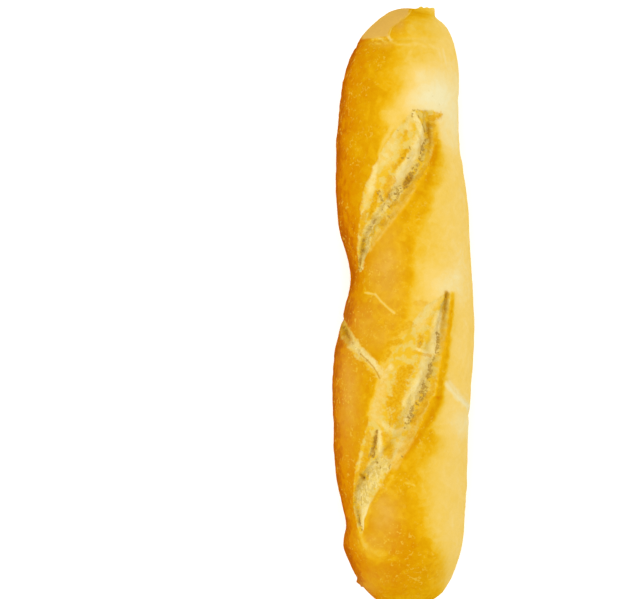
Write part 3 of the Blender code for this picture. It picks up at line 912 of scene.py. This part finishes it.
side_distance, side_passed = crack_distance(SIDE_CRACK, skin_turn, skin_y)
side_growth = SIDE_START + (1 - SIDE_START) * ease(side_passed / SIDE_START)
side_width = SIDE_CRACK["half"] * MM * (SIDE_WIDEST - SIDE_NARROWS * side_passed) * side_growth
side_uneven = side_distance / side_width + 0.4 * ragged
side_opened = 1 - ease((side_uneven - SIDE_EDGE["inside"]) / SIDE_EDGE["fade"])
for crack in CRACKS:
    nearest, _ = crack_distance(crack, skin_turn, skin_y)
    away = nearest / (crack["reach"] * MM)
    creases = np.maximum(creases, crack["pale"] * (1 - ease(away + 0.5 * gentle)))
print("creases cover", int((creases > 0.5).sum()), "points")

# %% Pockets and mounds
POCKET_PAINTED_SHADE = 0.8  # how dark the painted shade is that lies in a pocket
POCKET_EDGE = 1.1  # the painted shade is this much narrower than the pocket

for cx, cy, half_wide, half_long, rise, *lean in POCKETS + MOUNDS:
    height += rise * MM * faces_up * np.exp(-(oval(cx, cy, half_wide, half_long, *lean) ** 2))
for cx, cy, half_wide, half_long, _, *lean in POCKETS:
    shaded = np.exp(-((POCKET_EDGE * oval(cx, cy, half_wide, half_long, *lean)) ** 4))
    painted_shade = np.maximum(painted_shade, POCKET_PAINTED_SHADE * faces_up * shaded)
print("dusk covers", int((painted_shade > 0.5).sum()), "points")

# %% Bubbles and pores
BUBBLES = {"size": 1.7 * MM, "shift": 5.7, "share": 0.6, "depth": 0.15 * MM}
PORES = {"size": 1.4 * MM, "shift": 63.1, "depth": 0.35 * MM}
CRUMB = {"stands": 0.15 * MM, "grain": 0.1 * MM}
SCRAPS = {"stands": 0.15 * MM, "grain": 0.2 * MM}
BURST_LEVEL = 0.32  # a hollow opens where the noise passes this level, less BURST_GAIN for each whole share
BURST_GAIN = 0.4
BURST_EDGE = 0.26  # how slowly its edge falls
BURST_LAYERS = (  # the size and the weight of each layer of noise, as shares of the first, and its shift
    (1.0, 1.0, 0.0),
    (1 / 2.3, 0.6, 7.7),
    (2.6, 0.5, 3.1),
)
FAINT_CRUMB = 0.01  # where a mask is fainter than this, no noise is worked out
FAINT_CROWDING = 0.02


def burst(points, size, shift, share):
    """Ragged hollows about half as wide as size, over the given share of the skin: 1 in a hollow."""
    swell = 0.0
    for factor, weight, more_shift in BURST_LAYERS:
        swell = swell + weight * noise_at(points, factor * size, shift + more_shift)
    hollow = ease((swell - BURST_LEVEL + BURST_GAIN * share) / BURST_EDGE + 0.5)
    return hollow * np.clip(1.5 * share, 0.0, 1.0)


bubbles = np.zeros(len(smooth))
torn_points = np.flatnonzero(crumb > FAINT_CRUMB)
bubbles[torn_points] = burst(smooth[torn_points], BUBBLES["size"], BUBBLES["shift"], BUBBLES["share"])
height -= BUBBLES["depth"] * crumb * bubbles
height += crumb * (CRUMB["stands"] + CRUMB["grain"] * fine_grain)
height += gold * (SCRAPS["stands"] + SCRAPS["grain"] * fine_grain)

pores = np.zeros(len(smooth))
pore_points = np.flatnonzero(crowding > FAINT_CROWDING)
pores[pore_points] = burst(smooth[pore_points], PORES["size"], PORES["shift"], crowding[pore_points])
height -= PORES["depth"] * pores
print("pores cover", int((pores > 0.3).sum()), "points")

# %% [markdown]
# ## The crust's own relief
#
# A baked crust is never plain: it carries a fine grain, a few blisters where steam lifted the skin, and
# small puckers round the scores. They are low, under a quarter of a millimetre, but they break up the
# light and the outline.

# %% Grain and blisters
CRUST_GRAIN = 0.03 * MM
BLISTER_SIZE = 6.5 * MM
BLISTER_HEIGHT = 0.14 * MM
BLISTER_SHARE = 0.5  # in how many of the cells of that size steam lifted the skin
BLISTER_REACH = 0.62  # how far a blister reaches from its cell's middle, in cell sizes
BLISTER_FOOT = 0.4  # the share of a blister's height that stays sunk in the skin
CELL_SPREAD = 7.3  # takes each cell's middle to a place of its own in the noise that draws the cells


def blister(point):
    """How high a point stands on the blister of its own cell: 1 on its top, 0 beside it."""
    distances, centres = noise.voronoi(Vector(point) / BLISTER_SIZE)
    if 0.5 + 0.5 * noise.cell(centres[0] * CELL_SPREAD) > BLISTER_SHARE:
        return 0.0
    return max(0.0, 1.0 - (distances[0] / BLISTER_REACH) ** 2)


crust = 1 - np.maximum(crumb, gold)
height += crust * CRUST_GRAIN * fine_grain
upper_points = np.flatnonzero(faces_up)
blisters = np.array([blister(point) for point in smooth[upper_points]])
blisters = ease((blisters - BLISTER_FOOT) / (1 - BLISTER_FOOT))
height[upper_points] += crust[upper_points] * BLISTER_HEIGHT * blisters
print("blisters cover", int((blisters > 0).sum()), "points")

# %% Move the skin, then press it on the tray
TRAY_CORNER = 0.5 * MM

shaped = smooth + normals * height[:, None]
# What reaches below the tray comes up to it, with a small round corner.
shaped[:, 2] = 0.5 * (shaped[:, 2] + np.sqrt(shaped[:, 2] ** 2 + 4 * TRAY_CORNER**2))
write_points(loaf.data, shaped)
bpy.ops.object.select_all(action="DESELECT")
loaf.select_set(True)
bpy.context.view_layer.objects.active = loaf
bpy.ops.object.shade_smooth()
loaf.data.calc_loop_triangles()
lowest = shaped[:, 2].min() / MM
print("triangles:", len(loaf.data.loop_triangles), "lowest:", round(float(lowest), 3), "mm")

# %% [markdown]
# ## How far each place is baked, and the painted light on it
#
# One number says how brown the crust shows: 0 for pale skin that was shaded in the oven, 1 for the deep
# amber of the exposed flank. It holds real browning and painted light together. It starts from the place
# round the
# section: deeper on the left, where painted shade darkens the flank most at its edge, and paler on the
# right, where painted light brightens it. Soft patches add the rest. A second number is a dull tan haze,
# where the skin dried before it browned. Both are stored on the mesh as attributes, because they belong to
# this loaf and not to a pattern.

# %% The bake and the painted light round the section and along the loaf
# Turn round the section in degrees, and the bake there: on the deep side, and on the pale side. Both rows
# hold painted light too: the left flank is painted darker, most at its edge, and the right side paler.
DEEP_SHADED_ROUND = (
    (-180, 0.55), (-140, 0.62), (-115, 0.76), (-98, 0.92), (-84, 1.00), (-78, 0.99), (-70, 0.93),
    (-57, 0.81), (-42, 0.69), (-27, 0.62), (-10, 0.57), (5, 0.55), (25, 0.53), (60, 0.53), (120, 0.55),
    (180, 0.60),
)
PALE_LIT_ROUND = (
    (-60, 0.40), (0, 0.38), (15, 0.36), (28, 0.31), (42, 0.26), (60, 0.23), (85, 0.24), (110, 0.40),
    (140, 0.55), (180, 0.60),
)
# Where the pale side begins, seen from above: y, x, and how wide the change is, in mm. The pale side is
# partly less baked and partly painted light. Inside the scores, which have colours of their own, it steps
# across.
PALE_LIT_SIDE = np.array((
    (-125.6, 17.1, 8), (-108.9, 16.4, 9), (-101.5, 12.2, 11), (-92.5, 9.1, 14), (-83.6, 6.4, 14),
    (-74.8, 6.4, 12), (-67.0, 8.1, 10), (-62.7, 12.1, 8), (-57.4, 13.9, 7), (-52.1, 11.6, 6),
    (-45.2, 14.7, 5), (-40.9, 17.0, 4), (-38.2, 15.2, 4), (-35.5, -12.4, 4), (-22.4, -10.3, 4),
    (-15.8, -6.3, 4), (-9.3, -2.4, 4), (-4.9, 0.7, 4), (-0.6, 1.6, 4), (3.8, 2.4, 4), (7.3, 2.4, 4),
    (25.6, 3.3, 5), (34.4, 5.9, 5), (43.1, 9.9, 6), (51.9, 13.4, 7), (56.4, 17.0, 7), (63.0, 17.1, 7),
    (69.6, 16.2, 6), (74.0, 15.3, 6), (76.3, -3.3, 7), (79.4, -5.9, 7), (82.5, -8.1, 7),
    (86.0, -8.5, 7), (89.5, -7.2, 7), (93.0, -4.1, 8), (97.8, -1.9, 11), (108.1, -3.6, 13),
    (118.2, -3.4, 10), (134.5, 3.9, 8),
))
SIDE_WANDER = 1.2 * MM
TIP_BAKE = 0.62  # the tips are baked evenly all round
TIP_SHARE = {"from": 0.15, "over": 0.6}  # the share of the full section at which that ends, and its fade


def read_stops(stops, at):
    """Reads straight lines through (place, value) stops."""
    places, values = zip(*stops)
    return np.interp(at, places, values)


side_edge = np.interp(from_above[:, 1], PALE_LIT_SIDE[:, 0] * MM, PALE_LIT_SIDE[:, 1] * MM)
side_change = np.interp(from_above[:, 1], PALE_LIT_SIDE[:, 0] * MM, PALE_LIT_SIDE[:, 2] * MM)
side_edge += SIDE_WANDER * (broad_grain + 0.5 * grain)
pale_lit_side = ease((from_above[:, 0] - side_edge) / side_change + 0.5)
turn_degrees = np.degrees(skin_turn)
off_tips = ease((end_share(skin_y) - TIP_SHARE["from"]) / TIP_SHARE["over"])
deep_shaded_side = TIP_BAKE + (read_stops(DEEP_SHADED_ROUND, turn_degrees) - TIP_BAKE) * off_tips
# Here the left flank's painted shade and the right side's painted light join the bake.
bake_and_painted_light = deep_shaded_side * (1 - pale_lit_side) + read_stops(PALE_LIT_ROUND, turn_degrees) * pale_lit_side
print("bake:", round(float(bake_and_painted_light.min()), 2), "to", round(float(bake_and_painted_light.max()), 2))

# %% Patches of more and less bake
# Soft patches seen from above: x, y, half the width and half the length in mm, the change, and for some a
# lean in degrees.
BAKE_PATCHES = (
    (13, 93.8, 13, 13, -0.25),
    (2.1, 91, 8, 6, -0.10),
    (17.7, 8.9, 9, 6, -0.15, 20),
    (8.6, 110.5, 12, 6, 0.04),
    (19.9, 74.2, 6, 8, -0.06),
    (24.1, -50.2, 5, 7, -0.10),
    (-1.3, -100.8, 5, 9, 0.08),
    (10.9, 12.8, 8, 7, -0.06),
    (8.4, 120.4, 9, 7, 0.07),
    (-0.5, 124, 3.5, 5, 0.07),
    (8.8, 130.9, 6, 3.5, 0.30),
    (-23.1, 1.6, 5, 10, 0.02),
    (-19, 9.5, 3.5, 8, -0.09),
    (2.5, 21.6, 3, 14, 0.05),
    (8.5, 45.5, 5, 12, 0.06, 25),
    (11.9, -52.7, 5, 13, 0.06, 25),
    (5, -82, 6, 24, 0.04),
    (-0.7, -105.8, 10, 10, 0.08),
    (-3.5, -120.1, 18, 12, 0.12),
    (-8.9, 78.1, 4, 9, -0.08, 15),
    (-5.9, 83.3, 4.5, 4.5, -0.06),
    (6.5, 101.9, 4, 4, -0.11),
    (21.5, 84.2, 3.6, 9, -0.08),
    (21.1, -0.6, 2, 11, 0.06),
    (30.1, -52.1, 3, 7, -0.20),
    (6.8, 24.8, 2.7, 3.6, 0.06),
    (-1.5, 97.4, 3.6, 3.6, 0.04),
    (22.5, 16.1, 4.5, 6, -0.05),
    (18.4, -114.7, 3.6, 6.5, 0.03),
    (-14.5, 0.3, 11, 7, 0.03),
    (-22.6, 34, 2.5, 8, 0.06),
    (-26.5, -4, 4, 5, 0.10),
    (-6.7, 88.5, 4, 4, 0.06),
    (13.1, -62.8, 3, 3.5, 0.06),
    (5.1, -76, 3, 4.5, 0.05),
    (22.5, 24, 6, 13, -0.03),
    (-22.6, -70, 2.2, 6, 0.08),
    (-2.7, -97, 3, 5, 0.05),
    (-14.5, -121, 4, 4, -0.07),
)
PATCH_WANDER = 0.25
AMBER_AND_SHADE_BAKE = 0.34
CREASE_PALER = 0.75  # the share of its browning that a crease misses


def patch_sum(patches):
    """Adds up soft patches on the upper skin."""
    total = np.zeros(len(smooth))
    for cx, cy, half_wide, half_long, change, *lean in patches:
        away = oval(cx, cy, half_wide, half_long, *lean) * (1 + PATCH_WANDER * broad_grain)
        total += change * upper * np.exp(-(away**2))
    return total


# The lips' shoulders add a deeper amber here: partly more bake, partly painted shade.
bake_and_painted_light += patch_sum(BAKE_PATCHES) + AMBER_AND_SHADE_BAKE * amber_and_shade
bake_and_painted_light *= 1 - CREASE_PALER * creases
print("bake with its patches:", round(float(bake_and_painted_light.min()), 2), "to", round(float(bake_and_painted_light.max()), 2))

# %% Haze
HAZE_PATCHES = (
    (-7.8, 16.7, 5.5, 15, 0.75),
    (-16.7, -7.2, 6, 9, 0.3),
    (-10.2, -12.3, 4, 5, 0.25),
    (-24.4, -37, 3.8, 18, 0.55),
    (-8.6, -88.6, 4.8, 8, 0.75, 20),
    (-11.4, -95, 2.6, 4, 0.3),
    (16.5, -119, 4, 7, 0.25),
    (-16.5, -124, 4, 4, 0.4),
    (-12.9, -103, 6, 5, 0.5),
    (-12.3, -117.3, 8, 6, 0.1),
    (-2.4, 126.8, 2.7, 4.2, 0.70),
    (-9.1, 117, 5, 1.8, 0.45),
)
# The tip's smooth facet lies left of the nose seam and above the tip seam: y and x along its edge, in mm.
FACET_EDGE = (
    (119.2, -7.1), (121.6, -6.7), (124.4, -5.5), (126.8, -2.6), (129.0, 0.3), (130.8, 2.2), (134.3, 3.0),
)
FACET_FROM = 119.5 * MM
FACET_FADES = {"nose seam": 0.8 * MM, "tip seam": 1 * MM, "tip seam on the flank": 6 * MM}
FLANK = {"from": 65, "over": 35}  # degrees of turn to the left
FACET_END = {"from": 120, "over": 25}  # the turn to the left at which the facet ends, and its fade
FACET_FOOT = 9 * MM  # the level up to which there is no facet, and its fade

turned_left = -turn_degrees
on_flank = ease((turned_left - FLANK["from"]) / FLANK["over"])
tip_fade = FACET_FADES["tip seam"] * (1 - on_flank) + FACET_FADES["tip seam on the flank"] * on_flank
facet_edge = read_stops(FACET_EDGE, skin_y / MM) * MM
facet = ease((facet_edge - smooth[:, 0]) / FACET_FADES["nose seam"])
facet *= ease((skin_y - FACET_FROM) / tip_fade)
facet *= ease((FACET_END["from"] - turned_left) / FACET_END["over"])
facet *= ease((smooth[:, 2] - FACET_FOOT) / FACET_FOOT)
haze = np.clip(patch_sum(HAZE_PATCHES) + facet * upper, 0.0, 1.0)
print("haze covers", int((haze > 0.5).sum()), "points")

# %% The stretched skin inside the scores
LIP_SHARE = 0.9  # how far up the wall the old crust begins
LIP_FADE = 0.1
TORN_WANDER = 0.7 * MM
TORN_FADES = {"soft lip": 0.8 * MM, "top": 1 * MM}
SIDE_OPENED = 0.9  # how far the side crack's skin has the look of the stretched skin

opened_skin = np.zeros(len(smooth))
for score in scores:
    from_left = ease((score["from_soft"] + TORN_WANDER * ragged) / TORN_FADES["soft lip"])
    from_right = ease((LIP_SHARE - score["climbed"]) / LIP_FADE)
    from_top = ease((score["from_top"] + TORN_WANDER * ragged) / TORN_FADES["top"])
    opened_skin = np.maximum(opened_skin, score["inside"] * from_left * from_right * from_top)
opened_skin = np.maximum(opened_skin * (1 - amber_and_shade), SIDE_OPENED * side_opened)
pale *= np.maximum(opened_skin, crumb)
print("stretched skin covers", int((opened_skin > 0.5).sum()), "points")

# %% Store the masks on the mesh
masks = {
    "bake_and_painted_light": np.clip(bake_and_painted_light, 0.0, 1.0),
    "haze": haze,
    "opened_skin": opened_skin,
    "pale": pale,
    "cut": cut,
    "gold": gold,
    "crumb": crumb,
    "bubbles": bubbles,
    "painted_shade": painted_shade,
    "pores": pores,
}
for name, values in masks.items():
    attribute = loaf.data.attributes.new(name, "FLOAT", "POINT")
    attribute.data.foreach_set("value", values.astype(np.float32))
print("stored:", ", ".join(masks))

# %% [markdown]
# ## The crust's finish
#
# One material covers the whole loaf, because its finishes fade into each other. It reads the attributes
# and mixes named colours: crust by its bake and painted light, haze, stretched skin, cut strip, scraps of
# crust and crumb, and the painted shade of the tears, their pores and the crumb's pits.
# Noise shifts the bake before the colour is looked up, so that a darker speck is also a redder one, as in
# real browning.

# %% Tools for mixing the finish
def linear(shown):
    """One channel of a colour, 0 to 255 as a picture program shows it, made linear by the sRGB curve."""
    if shown <= 10:
        return shown / 255 / 12.92
    return ((shown / 255 + 0.055) / 1.055) ** 2.4


def colour(red, green, blue):
    """The paint that shows as this colour, 0 to 255, in the light of this studio."""
    return tuple(linear(shown) / STUDIO_GAIN for shown in (red, green, blue))


MIX_UNDER = 6  # a Mix node has a socket of each kind under each name, so its colours go by number
MIX_OVER = 7
MIX_RESULT = 2

finish = bpy.data.materials.new("baked crust and crumb")
finish.use_nodes = True
nodes = finish.node_tree.nodes
links = finish.node_tree.links
shader = nodes["Principled BSDF"]
place_on_loaf = nodes.new("ShaderNodeTexCoord").outputs["Object"]


def feed(socket, value):
    """Links an output to a socket, or sets a plain value on it."""
    if isinstance(value, bpy.types.NodeSocket):
        links.new(value, socket)
    elif isinstance(value, tuple):
        socket.default_value = (*value, 1.0)
    else:
        socket.default_value = value


def stored(name):
    """A mask that was stored on the mesh."""
    node = nodes.new("ShaderNodeAttribute")
    node.attribute_name = name
    return node.outputs["Fac"]


def cloud(size, detail=3.0, distortion=0.0):
    """Soft noise whose blotches are about as large as size, in metres."""
    node = nodes.new("ShaderNodeTexNoise")
    links.new(place_on_loaf, node.inputs["Vector"])
    node.inputs["Scale"].default_value = 1 / size
    node.inputs["Detail"].default_value = detail
    node.inputs["Distortion"].default_value = distortion
    return node.outputs["Fac"]


def reckon(kind, a, b):
    """One sum of two values, as a node."""
    node = nodes.new("ShaderNodeMath")
    node.operation = kind
    feed(node.inputs[0], a)
    feed(node.inputs[1], b)
    return node.outputs["Value"]


def times(a, b):
    return reckon("MULTIPLY", a, b)


def plus(a, b):
    return reckon("ADD", a, b)


def band(value, low, high, low_result=0.0, high_result=1.0):
    """Maps low..high smoothly onto the two results."""
    node = nodes.new("ShaderNodeMapRange")
    node.interpolation_type = "SMOOTHSTEP"
    feed(node.inputs["Value"], value)
    node.inputs["From Min"].default_value = low
    node.inputs["From Max"].default_value = high
    node.inputs["To Min"].default_value = low_result
    node.inputs["To Max"].default_value = high_result
    return node.outputs["Result"]


def blend(share, under, over):
    """Lays one colour over another, by the share."""
    node = nodes.new("ShaderNodeMix")
    node.data_type = "RGBA"
    feed(node.inputs["Factor"], share)
    feed(node.inputs[MIX_UNDER], under)
    feed(node.inputs[MIX_OVER], over)
    return node.outputs[MIX_RESULT]


def swing(size, detail, amount):
    """Soft noise that swings about zero, for a small shift either way."""
    return times(plus(cloud(size, detail), -0.5), amount)


def two_tone(size, colours, spread, detail=3.0):
    """Two colours in soft blotches of a size. The smaller the spread, the sharper their edges."""
    return blend(band(cloud(size, detail), 0.5 - spread, 0.5 + spread), *colours)


def looked_up(value, stops):
    """A colour ramp through stops of a place and a colour."""
    node = nodes.new("ShaderNodeValToRGB")
    links.new(value, node.inputs["Fac"])
    elements = node.color_ramp.elements
    while len(elements) < len(stops):
        elements.new(0.5)
    for element, (place, shown) in zip(elements, stops):
        element.position = place
        element.color = (*colour(*shown), 1.0)
    return node.outputs["Color"]


# %% The crust's colour
CRUST_STOPS = (  # the bake with its painted light, and the colour that it shows as
    (0.00, (248, 234, 180)),
    (0.12, (249, 223, 148)),
    (0.22, (250, 213, 115)),
    (0.31, (247, 206, 92)),
    (0.40, (243, 196, 62)),
    (0.47, (241, 188, 36)),
    (0.55, (237, 177, 12)),
    (0.63, (229, 165, 5)),
    (0.72, (224, 152, 2)),
    (0.82, (221, 140, 1)),
    (0.92, (204, 113, 4)),
    (1.00, (188, 96, 4)),
)
# How much each layer hides of what lies below it, where it is strongest.
COVER = {"haze": 0.9, "facet": 0.8, "flecks": 0.6, "pits": 0.5, "painted_shade": 0.9, "pores": 0.8}
HAZE_COLOURS = (colour(228, 172, 62), colour(237, 184, 78))
FACET_COLOUR = colour(234, 187, 92)
FLECK_COLOUR = colour(244, 198, 66)

# The bake is uneven: in soft blotches of two sizes, in patches, and less on the pale side.
patchy = band(cloud(7 * MM, 1.0, 0.8), 0.50, 0.56, 0.02, -0.03)
mottle = plus(swing(9 * MM, 2.0, 0.20), swing(2.2 * MM, 4.0, 0.22))
uneven = times(plus(mottle, patchy), band(stored("bake_and_painted_light"), 0.25, 0.55, 0.5, 1.0))
crust_colour = looked_up(plus(stored("bake_and_painted_light"), uneven), CRUST_STOPS)
haze_colour = two_tone(5 * MM, HAZE_COLOURS, 0.12)
haze_colour = blend(band(stored("haze"), 0.75, 1.0, 0.0, COVER["facet"]), haze_colour, FACET_COLOUR)
crust_colour = blend(times(stored("haze"), COVER["haze"]), crust_colour, haze_colour)
# Small pale flecks lie in crowds, and only where the crust is baked.
flecks = times(band(cloud(1.6 * MM, 1.0, 1.0), 0.60, 0.70), band(cloud(12 * MM, 2.0), 0.38, 0.58))
flecks = times(flecks, band(stored("bake_and_painted_light"), 0.35, 0.6))
crust_colour = blend(times(flecks, COVER["flecks"]), crust_colour, FLECK_COLOUR)
print("crust colours:", len(CRUST_STOPS))

# %% The colours inside the scores
FIELD_COLOURS = (colour(242, 192, 44), colour(238, 205, 100))
PALE_COLOURS = (colour(250, 221, 130), colour(253, 231, 156))
CUT_COLOURS = (colour(238, 183, 50), colour(242, 197, 84))
GOLD_COLOURS = (colour(230, 166, 8), colour(238, 182, 30))
CRUMB_COLOURS = (colour(244, 211, 106), colour(250, 224, 140))
# Painted shade in the pits of the crumb's bubbles.
PIT_SHADE_COLOUR = colour(214, 178, 82)
SPECK_COLOUR = colour(206, 162, 66)
# Painted shade: the brown of the tears' floors, the pockets and the side crack where shade lies.
PAINTED_SHADE_COLOURS = (colour(205, 141, 3), colour(211, 156, 30))
# Painted shade in the pores: brown, and more golden under the tear's painted shade.
PORE_SHADE_COLOURS = (colour(214, 174, 86), colour(186, 143, 50))
GOLDEN_PORE_SHADE_COLOUR = colour(182, 120, 6)
PAINTED_SHADE_IN_PORES = 0.8  # how golden the pores' painted shade turns under the tear's painted shade

field_colour = two_tone(3.0 * MM, FIELD_COLOURS, 0.08, 4.0)
pale_colour = two_tone(1.8 * MM, PALE_COLOURS, 0.15)
cut_colour = two_tone(1.8 * MM, CUT_COLOURS, 0.15)
gold_colour = two_tone(1.2 * MM, GOLD_COLOURS, 0.15)
crumb_colour = two_tone(1.6 * MM, CRUMB_COLOURS, 0.15)
# The bubbles' pits darken with painted shade.
crumb_colour = blend(band(stored("bubbles"), 0.3, 1.0, 0.0, COVER["pits"]), crumb_colour, PIT_SHADE_COLOUR)
painted_shade_colour = two_tone(2.0 * MM, PAINTED_SHADE_COLOURS, 0.10)
# The pores' painted shade.
pore_shade_colour = two_tone(0.8 * MM, PORE_SHADE_COLOURS, 0.08)
pore_shade_colour = blend(times(stored("painted_shade"), PAINTED_SHADE_IN_PORES), pore_shade_colour, GOLDEN_PORE_SHADE_COLOUR)

# From the lowest layer to the top one.
whole = blend(stored("opened_skin"), crust_colour, field_colour)
whole = blend(stored("pale"), whole, pale_colour)
specks = times(band(cloud(0.8 * MM, 2.0, 1.5), 0.62, 0.70), band(cloud(8 * MM, 2.0), 0.46, 0.60, 0.15, 0.6))
whole = blend(times(specks, stored("opened_skin")), whole, SPECK_COLOUR)
whole = blend(stored("cut"), whole, cut_colour)
whole = blend(stored("gold"), whole, gold_colour)
whole = blend(stored("crumb"), whole, crumb_colour)
# Painted shade on the floors of the tears and in the pockets.
whole = blend(times(stored("painted_shade"), COVER["painted_shade"]), whole, painted_shade_colour)
# The pores' painted shade on top.
whole = blend(band(stored("pores"), 0.05, 0.95, 0.0, COVER["pores"]), whole, pore_shade_colour)
links.new(whole, shader.inputs["Base Color"])
print("nodes so far:", len(nodes))

# %% Roughness and fine relief
ROUGHNESS = {"crust": 0.5, "crumb": 0.9}
RELIEF = {"crust, fine": 0.10, "crust, wide": 0.12, "crumb": 0.14}  # heights in mm
SCRAP_RELIEF = 0.7  # the share of the crumb's relief that the scraps of crust have

rough = band(stored("crumb"), 0.0, 1.0, ROUGHNESS["crust"], ROUGHNESS["crumb"])
links.new(rough, shader.inputs["Roughness"])
# The colours above are as they show in this studio's light, gloss included, so no gloss is added to them.
shader.inputs["Specular IOR Level"].default_value = 0.0

fine_relief = times(cloud(0.9 * MM, 3.0), RELIEF["crust, fine"])
wide_relief = times(cloud(3.0 * MM, 2.0), RELIEF["crust, wide"])
torn = plus(stored("crumb"), times(stored("gold"), SCRAP_RELIEF))
crumb_relief = times(cloud(0.6 * MM, 2.0), times(torn, RELIEF["crumb"]))
bump = nodes.new("ShaderNodeBump")
bump.inputs["Distance"].default_value = 1.0 * MM
bump.inputs["Strength"].default_value = 1.0
links.new(plus(plus(fine_relief, wide_relief), crumb_relief), bump.inputs["Height"])
links.new(bump.outputs["Normal"], shader.inputs["Normal"])
loaf.data.materials.append(finish)
print("the finish has", len(nodes), "nodes")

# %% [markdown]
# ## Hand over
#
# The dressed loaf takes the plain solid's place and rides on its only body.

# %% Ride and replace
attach(loaf, "root")
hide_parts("loaf")
